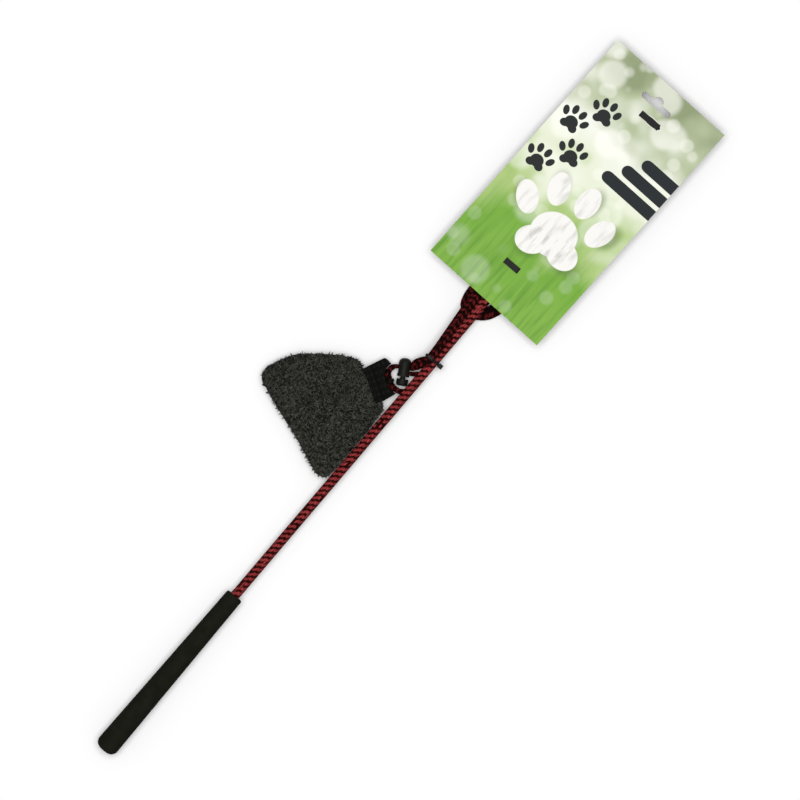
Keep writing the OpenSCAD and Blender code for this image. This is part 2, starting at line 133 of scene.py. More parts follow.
class Surface:
    """Material in the making, with its node tree and its shader."""

    def __init__(self, name: str) -> None:
        """Makes an empty material with a surface shader.

        Args:
            name: Name of the material.
        """
        self.material = bpy.data.materials.new(name)
        self.material.use_nodes = True
        self.tree = self.material.node_tree
        self.tree.nodes.clear()
        self.shader = self.add_node("BsdfPrincipled")
        self.add_node("OutputMaterial", links={"Surface": self.shader})

    def add_node(
        self, kind: str, settings: dict[Key, Any] | None = None, links: dict[Key, Feed] | None = None
    ) -> bpy.types.Node:
        """Adds a shader node with its settings and its incoming links.

        Args:
            kind: Blender's identifier of the node type, after the words that all of them start with.
            settings: Node attributes, input names or numbers, or a ramp's stops, and their values.
            links: Input names or numbers and what feeds them.

        Returns:
            The new node.
        """
        node = self.tree.nodes.new("ShaderNode" + kind)
        for key, value in (settings or {}).items():
            if key == "stops":
                self.set_stops(node.color_ramp.elements, value)
            elif isinstance(key, str) and key in node.bl_rna.properties:
                setattr(node, key, value)
            else:
                node.inputs[key].default_value = value
        self.feed(node, links or {})
        return node

    def feed(self, node: bpy.types.Node, links: dict[Key, Feed]) -> None:
        """Links inputs of a node to sockets, or to the first output of other nodes.

        Args:
            node: The node that is fed.
            links: Input names or numbers and what feeds them.
        """
        for key, source in links.items():
            socket = source.outputs[0] if isinstance(source, bpy.types.Node) else source
            self.tree.links.new(socket, node.inputs[key])

    def set_stops(self, elements: Any, stops: Sequence[tuple[float, Hex]]) -> None:
        """Sets the stops of a colour ramp.

        Args:
            elements: The ramp's own list of stops.
            stops: Positions from 0 to 1 and their sRGB colours.
        """
        while len(elements) < len(stops):
            elements.new(1.0)
        for element, (position, colour) in zip(elements, stops):
            element.position = position
            element.color = linear(colour)

    def finish(
        self, colour: Feed, relief: Feed, bump: Pair, roughness: float, gloss: float, metallic: float = 0.0
    ) -> bpy.types.Material:
        """Joins colour and relief to the shader and sets its constants.

        Args:
            colour: What gives the surface its colour.
            relief: What gives its height.
            bump: Strength of the relief, and its depth in millimetres.
            roughness: Roughness of the surface.
            gloss: Specular level, where 0.5 is a bare dielectric.
            metallic: 1 for a metal.

        Returns:
            The finished material.
        """
        normal = self.add_node("Bump", {"Strength": bump[0], "Distance": bump[1] * MM}, {"Height": relief})
        self.feed(self.shader, {"Base Color": colour, "Normal": normal})
        self.shader.inputs["Roughness"].default_value = roughness
        self.shader.inputs["Specular IOR Level"].default_value = gloss
        self.shader.inputs["Metallic"].default_value = metallic
        return self.material


@dataclass(frozen=True)
class FoamFinish:
    """EVA foam, moulded and ground: fine closed cells that swallow light, so it looks dry and black."""

    colour: Hex = "#15160f"
    lift: Hex = "#1d1e17"
    cell_mm: float = 0.7
    mottle_mm: float = 9.0

    def material(self) -> bpy.types.Material:
        """Builds the foam.

        Returns:
            The material.
        """
        look = Surface("eva_foam")
        place = look.add_node("TexCoord").outputs["Object"]
        mottle = look.add_node(
            "TexNoise", {"Scale": per_mm(self.mottle_mm), "Detail": 4.0}, {"Vector": place}
        )
        # Cells are drawn coarser than the real 0.2 mm ones, so that they show in the render
        cells = look.add_node("TexVoronoi", {"Scale": per_mm(self.cell_mm)}, {"Vector": place})
        ramp = look.add_node("ValToRGB", {"stops": [(0.3, self.colour), (0.75, self.lift)]}, {"Fac": mottle})
        return look.finish(ramp, cells, bump=(0.35, 0.12), roughness=0.9, gloss=0.05)


@dataclass(frozen=True)
class YarnFinish:
    """Polyester filament yarn, spun-dyed: fine threads along each float, with painted shade where floats dip
    under.
    """

    name: str
    colour: Hex
    # shade is a darker yarn tone, reached both by random flecks and by the painted shade towards a float's
    # edge; valley_shade is the painted shade where a float dips under
    shade: Hex
    valley_shade: Hex
    threads: float = 4.0
    speck_mm: float = 1.6
    speck: float = 0.6
    thread: float = 0.08

    def material(self) -> bpy.types.Material:
        """Builds the yarn, whose threads follow the float's own coordinates.

        Returns:
            The material.
        """
        look = Surface(self.name)
        place = look.add_node("TexCoord").outputs["Object"]
        axes = look.add_node("SeparateXYZ", links={"Vector": look.add_node("UVMap", {"uv_map": "Yarn"})})
        turn = look.add_node(
            "Math", {"operation": "MULTIPLY", 1: self.threads * math.tau}, {0: axes.outputs["Y"]}
        )
        wave = look.add_node("Math", {"operation": "SINE"}, {0: turn})
        speck = look.add_node("TexNoise", {"Scale": per_mm(self.speck_mm), "Detail": 3.0}, {"Vector": place})
        tone = look.add_node("Attribute", {"attribute_name": "Tone"}).outputs["Fac"]
        swell = look.add_node("Attribute", {"attribute_name": "Swell"}).outputs["Fac"]
        flecked = look.add_node("Math", {"operation": "MULTIPLY_ADD", 1: self.speck}, {0: speck, 2: tone})
        lined = look.add_node("Math", {"operation": "MULTIPLY_ADD", 1: self.thread}, {0: wave, 2: flecked})
        # The Swell layer darkens the colour towards each float's edge: painted shade where the float dips
        # under
        dip_shaded = look.add_node("Math", {"operation": "MULTIPLY"}, {0: lined, 1: swell})
        stops = [(0.1, self.valley_shade), (0.5, self.shade), (1.0, self.colour)]
        ramp = look.add_node("ValToRGB", {"stops": stops}, {"Fac": dip_shaded})
        return look.finish(ramp, wave, bump=(0.5, 0.1), roughness=0.65, gloss=0.02)


@dataclass(frozen=True)
class MouldedFinish:
    """Nylon, acetal or rubber, injection moulded: a spark-eroded grain that keeps highlights soft.

    Drawn fibre, wire and thread have the same fine grain, with their own roughness and gloss.
    """

    name: str
    colour: Hex
    lift: Hex
    grain_mm: float = 0.5
    wear_mm: float = 6.0
    roughness: float = 0.5
    gloss: float = 0.12
    metallic: float = 0.0

    def material(self) -> bpy.types.Material:
        """Builds the moulded surface.

        Returns:
            The material.
        """
        look = Surface(self.name)
        place = look.add_node("TexCoord").outputs["Object"]
        grain = look.add_node("TexNoise", {"Scale": per_mm(self.grain_mm), "Detail": 2.0}, {"Vector": place})
        wear = look.add_node("TexNoise", {"Scale": per_mm(self.wear_mm), "Detail": 3.0}, {"Vector": place})
        ramp = look.add_node("ValToRGB", {"stops": [(0.35, self.colour), (0.8, self.lift)]}, {"Fac": wear})
        return look.finish(ramp, grain, (0.25, 0.05), self.roughness, self.gloss, self.metallic)


@dataclass(frozen=True)
class WebbingFinish:
    """Polyester webbing, plain woven and dyed black: close ribs that stay matt."""

    colour: Hex = "#0a0b09"
    lift: Hex = "#161814"
    # Ribs are drawn about four times as coarse as the real 1.1 mm ones, so that they show in the render
    rib_mm: Pair = (4.3426, 6.0797)
    turn: float = -150.0

    def material(self) -> bpy.types.Material:
        """Builds the webbing, whose ribs follow the tab.

        Returns:
            The material.
        """
        look = Surface("woven_webbing")
        place = look.add_node("TexCoord").outputs["Object"]
        turned = look.add_node(
            "Mapping", {"Rotation": (0.0, 0.0, math.radians(self.turn))}, {"Vector": place}
        )
        waves = []
        for axis, size in zip("XY", self.rib_mm):
            # Blender's bands are a twentieth of a full turn apart at scale 1
            scale = per_mm(size) * math.tau / 20
            settings = {"Scale": scale, "Distortion": 0.6, "bands_direction": axis}
            waves.append(look.add_node("TexWave", settings, {"Vector": turned}).outputs["Fac"])
        weave = look.add_node("Math", {"operation": "MULTIPLY"}, {0: waves[0], 1: waves[1]})
        ramp = look.add_node("ValToRGB", {"stops": [(0.1, self.colour), (0.9, self.lift)]}, {"Fac": weave})
        return look.finish(ramp, weave, bump=(0.6, 0.15), roughness=0.85, gloss=0.06)


@dataclass(frozen=True)
class PileFinish:
    """Curly polyester pile, knitted and tumbled: matt charcoal locks, darker towards each strand's root by
    painted shade and paler at the tips.
    """

    name: str
    # The root colour also carries the painted shade at the base of each strand
    root: Hex
    tip: Hex
    lock_mm: float = 5.0
    lock: float = 0.6

    def material(self) -> bpy.types.Material:
        """Builds the pile, which reads each strand's own shade where it has one.

        Returns:
            The material.
        """
        look = Surface(self.name)
        place = look.add_node("TexCoord").outputs["Object"]
        settings = {"Scale": per_mm(self.lock_mm), "Detail": 4.0, "Roughness": 0.65}
        locks = look.add_node("TexNoise", settings, {"Vector": place})
        shade = look.add_node("Attribute", {"attribute_name": "Shade"}).outputs["Fac"]
        mixed = look.add_node("Math", {"operation": "MULTIPLY_ADD", 1: self.lock}, {0: locks, 2: shade})
        ramp = look.add_node("ValToRGB", {"stops": [(0.25, self.root), (0.95, self.tip)]}, {"Fac": mixed})
        return look.finish(ramp, locks, bump=(0.8, 0.8), roughness=0.95, gloss=0.06)


# Ovals of a paw print in halves of its pad's width: place, radii, and lean in degrees
PAW: tuple[tuple[float, float, float, float, float], ...] = (
    (0.1, 0.0, 0.66, 0.72, 0.0), (-0.3, 0.48, 0.42, 0.5, 20.0), (-0.3, -0.48, 0.42, 0.5, -20.0),
    (0.72, 1.16, 0.5, 0.33, 30.0), (1.32, 0.46, 0.5, 0.33, 10.0), (1.32, -0.46, 0.5, 0.33, -10.0),
    (0.72, -1.16, 0.5, 0.33, -30.0),
)


@dataclass
class CardPrint:
    """Print that grows colour by colour; its places are millimetres up the card and across it."""

    look: Surface
    place: Feed
    colour: Feed | None = None

    def oval(self, centre: Pair, radii: Pair, turn: float = 0.0, soft: float = 0.06) -> Feed:
        """Draws an oval.

        Args:
            centre: Its centre.
            radii: Half its size along and across.
            turn: Its turn in degrees.
            soft: Share of its radius over which its edge fades.

        Returns:
            A mask that is 1 inside the oval.
        """
        c, s = cos_sin(turn)
        (x, y), (a, b) = centre, radii
        shift = (-(c * x + s * y) / a, -(-s * x + c * y) / b, 0.0)
        turned = self.look.add_node(
            "Mapping", {"Rotation": (0.0, 0.0, -math.radians(turn))}, {"Vector": self.place}
        )
        scaled = self.look.add_node(
            "Mapping", {"Location": shift, "Scale": (1 / a, 1 / b, 0.0)}, {"Vector": turned}
        )
        reach = self.look.add_node("VectorMath", {"operation": "LENGTH"}, {0: scaled})
        fade = {"interpolation_type": "SMOOTHSTEP", 1: 1.0, 2: 1.0 - soft, 3: 0.0, 4: 1.0}
        return self.look.add_node("MapRange", fade, {0: reach.outputs["Value"]})

    def bar(self, along: Pair, across: Pair) -> list[Feed]:
        """Draws a straight bar with round ends.

        Args:
            along: Its lower and upper side.
            across: Its left and right end.

        Returns:
            Masks of its straight part and its two ends.
        """
        axes = self.look.add_node("SeparateXYZ", links={"Vector": self.place})
        sides = []
        for axis, (start, end) in (("X", along), ("Y", across)):
            within = {"operation": "COMPARE", 1: (start + end) / 2, 2: (end - start) / 2}
            sides.append(self.look.add_node("Math", within, {0: axes.outputs[axis]}))
        both = self.look.add_node("Math", {"operation": "MULTIPLY"}, {0: sides[0], 1: sides[1]})
        middle, half = sum(along) / 2, (along[1] - along[0]) / 2
        return [both] + [self.oval((middle, end), (half, half)) for end in across]

    def paw(self, centre: Pair, size: float, turn: float, soft: float = 0.06) -> list[Feed]:
        """Draws a plain paw print of one lobed pad and four toes.

        Args:
            centre: Centre of the pad.
            size: Half the pad's width.
            turn: Its turn in degrees.
            soft: Share of each oval's radius over which its edge fades.

        Returns:
            Masks of the pad and the toes.
        """
        c, s = cos_sin(turn)
        masks = []
        for x, y, a, b, lean in PAW:
            at = (centre[0] + size * (c * x - s * y), centre[1] + size * (s * x + c * y))
            masks.append(self.oval(at, (a * size, b * size), turn + lean, soft))
        return masks

    def lay(self, masks: Sequence[Feed], colour: Hex, strength: float = 1.0) -> None:
        """Lays one colour over the print where any of the masks is set.

        Args:
            masks: Masks that are joined.
            colour: Colour to lay on.
            strength: How well the colour covers.
        """
        joined = masks[0]
        for mask in masks[1:]:
            joined = self.look.add_node("Math", {"operation": "MAXIMUM"}, {0: joined, 1: mask})
        thinned = self.look.add_node("Math", {"operation": "MULTIPLY", 1: strength}, {0: joined})
        settings = {"data_type": "RGBA", 7: linear(colour)}
        self.colour = self.look.add_node("Mix", settings, {0: thinned, 6: self.colour}).outputs[2]


@dataclass(frozen=True)
class CardFinish:
    """Folding boxboard, offset printed and varnished: a soft meadow print, grey board at back and edge."""

    centre: Pair
    tie: Pair
    size: Pair = (247.0, 125.0)
    turn: float = -1.4
    meadow: tuple[tuple[float, Hex], ...] = (
        (0.0, "#7fae45"), (0.22, "#74a83a"), (0.4, "#a9c479"), (0.55, "#e3e9d2"), (0.72, "#eff1e6"),
        (0.86, "#b4bf9c"), (1.0, "#8d9a74"),
    )
    haze_mm: float = 55.0
    drift: float = 0.7
    blade: Hex = "#4f8527"
    blade_mm: Pair = (60.0, 5.0)
    disc: Hex = "#fbfbf3"
    # Cell in millimetres, edge as a share of it, and strength
    discs: tuple[Place, ...] = ((19.0, 0.4, 0.35), (37.0, 0.44, 0.5))
    ink: Hex = "#1f2423"
    slate: Hex = "#1d2326"
    fur: Hex = "#f1efeb"
    hair: Hex = "#a19e98"
    hair_mm: Pair = (24.0, 6.0)
    shadow: Hex = "#3c5a22"
    # Place on the card and turn of each small paw print
    trail: tuple[Place, ...] = (
        (120.0, 108.0, 4.0), (142.0, 88.0, 16.0), (165.0, 108.0, 0.0), (188.0, 90.0, 12.0),
    )
    # Lower side and right end of each bar
    bars: tuple[Pair, ...] = ((146.0, 52.0), (161.0, 42.0), (176.0, 32.0))
    bar_mm: float = 11.0
    rim: Hex = "#e6e9dd"
    well: Hex = "#0d0e0d"
    board: tuple[Hex, Hex] = ("#c9c6bc", "#d7d4cb")
    fibre_mm: float = 1.2

    def local(self, point: Pair) -> Pair:
        """Turns a place of the row's frame into the card's own frame.

        Args:
            point: The place, in millimetres.

        Returns:
            Millimetres up the card and across it, from its corner.
        """
        c, s = cos_sin(self.turn)
        x, y = point[0] - self.centre[0], point[1] - self.centre[1]
        return (self.size[0] / 2 + c * x + s * y, self.size[1] / 2 - s * x + c * y)

    def backdrop(self, art: CardPrint) -> None:
        """Draws the blurred meadow with its blades and soft discs of light.

        Args:
            art: The print that it is the ground of.
        """
        look, place = art.look, art.place
        up = look.add_node("SeparateXYZ", links={"Vector": place}).outputs["X"]
        haze = look.add_node("TexNoise", {"Scale": 1 / self.haze_mm, "Detail": 2.0}, {"Vector": place})
        sway = {"operation": "MULTIPLY_ADD", 1: self.drift, 2: -self.drift / 2}
        drift = look.add_node("Math", sway, {0: haze})
        rise = look.add_node("Math", {"operation": "MULTIPLY_ADD", 1: 1 / self.size[0]}, {0: up, 2: drift})
        art.colour = look.add_node("ValToRGB", {"stops": self.meadow}, {"Fac": rise})
        scale = (1 / self.blade_mm[0], 1 / self.blade_mm[1], 0.0)
        stretched = look.add_node("Mapping", {"Scale": scale}, {"Vector": place})
        blades = look.add_node("TexNoise", {"Scale": 1.0, "Detail": 3.0}, {"Vector": stretched})
        near = {"interpolation_type": "SMOOTHSTEP", 1: 120.0, 2: 0.0, 3: 0.0, 4: 0.8}
        low = look.add_node("MapRange", near, {0: up})
        sharp = look.add_node("MapRange", {1: 0.45, 2: 0.72}, {0: blades})
        art.lay([look.add_node("Math", {"operation": "MULTIPLY"}, {0: low, 1: sharp})], self.blade)
        lift = look.add_node("MapRange", {1: 60.0, 2: 150.0, 3: 0.3, 4: 1.0}, {0: up})
        for cell, edge, strength in self.discs:
            cells = look.add_node("TexVoronoi", {"Scale": 1 / cell}, {"Vector": place})
            fade = {"interpolation_type": "SMOOTHSTEP", 1: edge, 2: edge - 0.16}
            disc = look.add_node("MapRange", fade, {0: cells})
            shine = look.add_node("Math", {"operation": "MULTIPLY"}, {0: disc, 1: lift})
            art.lay([shine], self.disc, strength)

    def material(self) -> bpy.types.Material:
        """Builds the printed board.

        Returns:
            The material.
        """
        look = Surface("printed_board")
        metres = look.add_node("TexCoord").outputs["Object"]
        own = {
            "Location": (*self.local((0.0, 0.0)), 0.0),
            "Rotation": (0.0, 0.0, -math.radians(self.turn)),
            "Scale": (1 / MM, 1 / MM, 0.0),
        }
        art = CardPrint(look, look.add_node("Mapping", own, {"Vector": metres}))
        self.backdrop(art)
        art.lay(art.paw((76.0, 50.0), 36.0, 14.0, 0.6), self.shadow, 0.5)
        pads = art.paw((79.0, 53.0), 31.0, 14.0)
        art.lay(pads, self.fur)
        combed = {"Rotation": (0.0, 0.0, 0.5), "Scale": (1 / self.hair_mm[0], 1 / self.hair_mm[1], 0.0)}
        strokes = look.add_node("Mapping", combed, {"Vector": art.place})
        hairs = look.add_node("TexNoise", {"Scale": 1.0, "Detail": 4.0}, {"Vector": strokes})
        dark = look.add_node("MapRange", {1: 0.5, 2: 0.75}, {0: hairs})
        for pad in pads:
            art.lay([look.add_node("Math", {"operation": "MULTIPLY"}, {0: pad, 1: dark})], self.hair, 0.5)
        art.lay([mask for x, y, turn in self.trail for mask in art.paw((x, y), 9.0, turn)], self.ink)
        bars = [art.bar((low, low + self.bar_mm), (-10.0, end)) for low, end in self.bars]
        art.lay([mask for bar in bars for mask in bar], self.slate)
        for colour, radii in ((self.rim, (4.2, 11.4)), (self.well, (3.4, 10.4))):
            art.lay([art.oval(self.local(self.tie), radii, soft=0.1)], colour)
        facing = look.add_node("NewGeometry").outputs["Normal"]
        height = look.add_node("SeparateXYZ", links={"Vector": facing}).outputs["Z"]
        front = look.add_node("Math", {"operation": "GREATER_THAN", 1: 0.5}, {0: height})
        fibre = look.add_node("TexNoise", {"Scale": per_mm(self.fibre_mm), "Detail": 4.0}, {"Vector": metres})
        board = look.add_node("ValToRGB", {"stops": list(zip((0.3, 0.7), self.board))}, {"Fac": fibre})
        face = look.add_node("Mix", {"data_type": "RGBA"}, {0: front, 6: board, 7: art.colour})
        return look.finish(face.outputs[2], fibre, bump=(0.12, 0.05), roughness=0.45, gloss=0.1)


@dataclass
class PoleFrame:
    """Place of the pole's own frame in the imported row's frame."""

    tip_mm: float = 716.0
    shift: np.ndarray = field(init=False)

    def __post_init__(self) -> None:
        """Finds the shift from the sleeve, whose tip and axis are known in both frames."""
        low, high = (np.array(corner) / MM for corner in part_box("braided_sleeve"))
        self.shift = np.array([high[0] - self.tip_mm, (low[1] + high[1]) / 2, 0.0])

    def row(self, points: np.ndarray | Sequence[Sequence[float]]) -> np.ndarray:
        """Turns millimetres in the pole's frame into metres in the row's frame."""
        return (np.asarray(points, dtype=float) + self.shift) * MM


def make_piece(
    name: str,
    points: np.ndarray,
    faces: Faces | np.ndarray,
    materials: Sequence[bpy.types.Material],
    face_materials: np.ndarray | None = None,
) -> bpy.types.Object:
    """Makes a smooth mesh piece.

    Args:
        name: Name of the piece.
        points: Its vertices in metres.
        faces: Its faces as vertex numbers.
        materials: Its materials.
        face_materials: Number of the material of each face, or None for the first one.

    Returns:
        The new object.
    """
    mesh = bpy.data.meshes.new(name)
    mesh.from_pydata(points.tolist(), [], faces.tolist() if isinstance(faces, np.ndarray) else faces)
    for material in materials:
        mesh.materials.append(material)
    mesh.polygons.foreach_set("use_smooth", [True] * len(mesh.polygons))
    if face_materials is not None:
        mesh.polygons.foreach_set("material_index", np.asarray(face_materials, dtype=np.int32))
    mesh.update()
    piece = bpy.data.objects.new(name, mesh)
    bpy.context.scene.collection.objects.link(piece)
    return piece


def settle(piece: bpy.types.Object, body: Body, slot: Slot, *nodes: str) -> None:
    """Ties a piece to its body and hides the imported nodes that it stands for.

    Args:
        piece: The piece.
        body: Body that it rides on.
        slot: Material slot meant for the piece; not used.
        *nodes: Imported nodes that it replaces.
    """
    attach(piece, body.value)
    if nodes:
        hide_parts(*nodes)


def add_layer(piece: bpy.types.Object, label: str, domain: str, values: np.ndarray) -> None:
    """Gives a piece's mesh a number for each of its points or faces.

    Args:
        piece: The piece.
        label: Name that its material reads.
        domain: POINT or FACE.
        values: The numbers.
    """
    layer = piece.data.attributes.new(label, "FLOAT", domain)
    layer.data.foreach_set("value", values.astype(np.float32))


def join_rings(rings: Sequence[int], sides: int, capped: bool = False) -> Faces:
    """Joins rings of vertices, one after the other, into a tube.

    Args:
        rings: Numbers of the rings, where one that closes on itself ends with its first.
        sides: How many vertices each ring has.
        capped: Whether the tube's two ends are closed.

    Returns:
        Its faces as vertex numbers.
    """
    faces = []
    for a, b in zip(rings[:-1], rings[1:]):
        for k in range(sides):
            m = (k + 1) % sides
            faces.append([a * sides + k, a * sides + m, b * sides + m, b * sides + k])
    if capped:
        faces.append([rings[0] * sides + k for k in reversed(range(sides))])
        faces.append([rings[-1] * sides + k for k in range(sides)])
    return faces


def through(points: Sequence[Sequence[float]] | np.ndarray, step: float, closed: bool = False) -> np.ndarray:
    """Runs a smooth curve through points and samples it evenly.

    Args:
        points: Points that the curve passes through.
        step: Distance between samples, in the points' own unit.
        closed: Whether the curve returns to its start.

    Returns:
        Samples along the curve.
    """
    p = np.asarray(points, dtype=float)
    if closed:
        p = np.vstack([p[-1], p, p[0], p[1]])
    else:
        p = np.vstack([2 * p[0] - p[1], p, 2 * p[-1] - p[-2]])
    t = np.linspace(0.0, 1.0, 24, endpoint=False)[:, None]
    runs = []
    for a, b, c, d in zip(p[:-3], p[1:-2], p[2:-1], p[3:]):
        # Knots spaced by the root of the distance, which keeps uneven points from looping
        ab, bc, cd = (max(float(np.linalg.norm(y - x)), 1e-6) ** 0.5 for x, y in ((a, b), (b, c), (c, d)))
        m1 = (c - b) + bc * ((b - a) / ab - (c - a) / (ab + bc))
        m2 = (c - b) + bc * ((d - c) / cd - (d - b) / (bc + cd))
        runs.append(
            (2 * t**3 - 3 * t**2 + 1) * b + (t**3 - 2 * t**2 + t) * m1
            + (3 * t**2 - 2 * t**3) * c + (t**3 - t**2) * m2
        )
    curve = np.vstack([*runs, p[1 if closed else -2]])
    lengths = run_along(curve)
    at = np.linspace(0.0, lengths[-1], max(int(round(lengths[-1] / step)), 2) + 1)
    if closed:
        at = at[:-1]
    return np.column_stack([np.interp(at, lengths, curve[:, i]) for i in range(curve.shape[1])])


@dataclass
class Braid:
    """Hollow braid of red and black yarn, whose floats lie in uneven zigzag rows round a tube."""

    columns: int = 8
    pair_mm: float = 5.5
    red_share: float = 0.62
    lean_mm: float = 2.3
    turns: int = 4
    relief_mm: float = 0.3
    jitter_mm: float = 0.3
    most_mm: float = 0.8
    swapped: float = 0.04
    fullness: float = 0.4
    tone: Pair = (0.2, 0.6)
    across: int = 5
    along: int = 4
    seed: int = 5

    def tube(
        self,
        name: str,
        line: np.ndarray,
        sizes: np.ndarray,
        materials: Sequence[bpy.types.Material],
        place: PoleFrame,
    ) -> bpy.types.Object:
        """Sweeps the braid along a line.

        Args:
            name: Name of the piece.
            line: Evenly spaced points of the centreline, in millimetres.
            sizes: Width and thickness of the braid at each of them.
            materials: The red and the black yarn.
            place: Frame that the line is in.

        Returns:
            The braided tube.
        """
        chance = np.random.default_rng(self.seed)
        run = run_along(line)
        sides = self.columns * self.across
        rows = 2 * int(math.ceil((run[-1] + self.lean_mm) / self.pair_mm) + self.turns + 2)
        count = rows * self.along + 1
        heights = np.tile([self.red_share, 1.0 - self.red_share], rows // 2) * self.pair_mm
        shift = chance.normal(0.0, self.jitter_mm, (rows + 1, self.columns))
        shift = np.clip(shift, -self.most_mm, self.most_mm)
        shift += np.concatenate([[0.0], np.cumsum(heights)])[:, None] - (self.turns + 1) * self.pair_mm
        column = np.arange(sides) / self.across
        part = np.arange(count) / self.along
        marks = np.arange(rows + 1)
        edges = np.stack([np.interp(part, marks, shift[:, k]) for k in range(self.columns)], axis=1)
        # The zigzag rows climb round the tube and meet themselves some rows higher
        climb = self.turns * self.pair_mm * column / self.columns
        climb -= np.abs(np.mod(column, 2.0) - 1.0) * self.lean_mm
        at = np.clip(edges[:, column.astype(int)] + climb[None, :], 0.0, run[-1])
        ended = (at <= 0.0) | (at >= run[-1])
        heading = unit(np.gradient(line, axis=0))
        side = unit(np.cross([0.0, 0.0, 1.0], heading))
        up = np.cross(heading, side)

        def along_run(values: np.ndarray) -> np.ndarray:
            """Reads values of the line at every vertex."""
            return np.stack([np.interp(at, run, values[:, i]) for i in range(values.shape[1])], axis=-1)

        swell = (
            np.sin(math.pi * np.mod(column, 1.0))[None, :] ** self.fullness
            * np.sin(math.pi * np.mod(part, 1.0))[:, None] ** self.fullness
        )
        swell = np.where(ended, 0.5, swell)
        half = along_run(sizes) / 2 - self.relief_mm * (1.0 - swell)[..., None]
        angle = (column / self.columns * math.tau)[None, :, None]
        points = (
            along_run(line)
            + along_run(side) * half[..., :1] * np.cos(angle)
            + along_run(up) * half[..., 1:] * np.sin(angle)
        ).reshape(-1, 3)
        i, j = np.meshgrid(np.arange(count - 1), np.arange(sides), indexing="ij")
        k = (j + 1) % sides
        beside = i + np.where(k == 0, 2 * self.turns * self.along, 0)
        whole = beside < count - 1
        i, j, k, beside = i[whole], j[whole], k[whole], beside[whole]
        corners = [i * sides + j, beside * sides + k, (beside + 1) * sides + k, (i + 1) * sides + j]
        faces = np.stack(corners, axis=-1)
        shown = np.ptp(at.ravel()[faces], axis=1) > 0
        i, j, faces = i[shown], j[shown], faces[shown]
        row, col = i // self.along, j // self.across
        swap = chance.random((rows, self.columns)) < self.swapped
        tints = np.mod(row + swap[row, col], 2)
        ends = [list(range(sides - 1, -1, -1)), list(range((count - 1) * sides, count * sides))]
        piece = make_piece(
            name, place.row(points), faces.tolist() + ends, materials, np.concatenate([tints, [0, 0]])
        )
        tone = (self.tone[0] + self.tone[1] * chance.random((rows, self.columns)))[row, col]
        add_layer(piece, "Tone", "FACE", np.concatenate([tone, [0.5, 0.5]]))
        # Swell also darkens the yarn's colour towards each float's edge in its material: painted shade
        add_layer(piece, "Swell", "POINT", swell.ravel())
        self.lay_threads(piece, i, j)
        mesh = bmesh.new()
        mesh.from_mesh(piece.data)
        bmesh.ops.remove_doubles(mesh, verts=mesh.verts, dist=1e-7)
        mesh.to_mesh(piece.data)
        mesh.free()
        return piece

    def lay_threads(self, piece: bpy.types.Object, i: np.ndarray, j: np.ndarray) -> None:
        """Gives each float coordinates along and across its threads.

        Args:
            piece: The braided tube.
            i: Ring number of each face.
            j: Side number of each face.
        """
        layer = piece.data.uv_layers.new(name="Yarn")
        values = np.zeros((len(piece.data.loops), 2))
        steps = ((0, 0), (1, 0), (1, 1), (0, 1))
        corners = [np.stack([(j + b) / self.across, (i + a) / self.along], axis=-1) for b, a in steps]
        values[: 4 * len(i)] = np.stack(corners, axis=1).reshape(-1, 2)
        layer.data.foreach_set("uv", values.ravel())


@dataclass
class BraidedPole:
    """Whip rod's braided sleeve."""

    sleeve_d: float = 8.8
    axis_z: float = 10.25
    shown_from: float = 170.0
    tip: float = 716.0

    def build(self, place: PoleFrame, braid: Braid, yarns: Sequence[bpy.types.Material]) -> bpy.types.Object:
        """Builds the sleeve from just inside the grip to the rod's tip.

        Args:
            place: Frame of the pole.
            braid: The braid's own sizes.
            yarns: The red and the black yarn.

        Returns:
            The sleeve.
        """
        x = np.arange(self.shown_from, self.tip + 0.5, 1.0)
        line = np.column_stack([x, np.zeros_like(x), np.full_like(x, self.axis_z)])
        sleeve = braid.tube("pole_braid", line, np.full((len(x), 2), self.sleeve_d), yarns, place)
        settle(sleeve, Body.POLE, Slot.BRAID, "braided_sleeve")
        return sleeve


FOLD_ROUTE: list[Place] = [
    (716, 0, 10.25), (722, 0, 10.25), (730.5, -2.4, 9.6), (736.5, -8.5, 8.2), (738.5, -16, 6.4),
    (735, -23.5, 4.6), (727, -28, 3.1), (710, -29.5, 2.3), (685, -29.5, 2.3), (658, -29, 2.3),
    (632, -27.5, 2.3), (606, -25.5, 2.3), (580, -22.5, 2.3), (558, -19, 2.3), (540, -16, 2.3),
    (522, -13, 2.3), (510.5, -8.5, 2.3), (503.5, -1.5, 2.3), (500.5, 6, 2.3), (503, 12, 2.3),
    (511, 15, 2.3), (522, 16, 2.3), (540, 18, 2.3), (560, 21, 2.3), (585, 25.5, 2.3),
    (612, 30, 2.3), (640, 33.5, 2.3), (668, 35, 2.3), (690, 35, 2.3), (699, 31, 2.3),
    (703, 22, 2.3), (699, 13, 2.3), (690, 9, 2.3), (680, 9, 2.3),
]
LEAD_ROUTE: list[Place] = [
    (668, 9, 2.3), (648, 8.5, 2.6), (626, 7, 3), (602, 5.8, 3.4), (578, 5, 3.6), (556, 5, 3.6),
    (542, 5.6, 4), (529, 7.4, 6), (517, 8.5, 9.2), (505, 8.5, 12.2), (492, 7.6, 14.4),
    (476, 6.4, 15.2), (457, 4.6, 16.2), (445.5, 4.6, 16.2), (441.5, 6.8, 14.4), (437, 9.4, 11.2),
    (433.4, 10.2, 7.8), (430.5, 10.4, 5.8), (426.9, 16.4, 5.8), (423.4, 22.3, 5.8),
    (420.3, 24.6, 6), (416.4, 24.9, 6.6), (413.2, 23.4, 7.4), (411.2, 20.7, 8), (408.2, 15.5, 8),
    (407.3, 11.2, 7.2), (407.9, 6.9, 5.6), (410.5, 2.5, 3.4), (415, -0.8, 2.4), (420.5, -1.9, 2.3),
    (426, -1, 2.4), (430, 2.5, 3.6), (426.6, 8.1, 5.8), (423.1, 14, 5.8), (421, 17.5, 5.8),
]


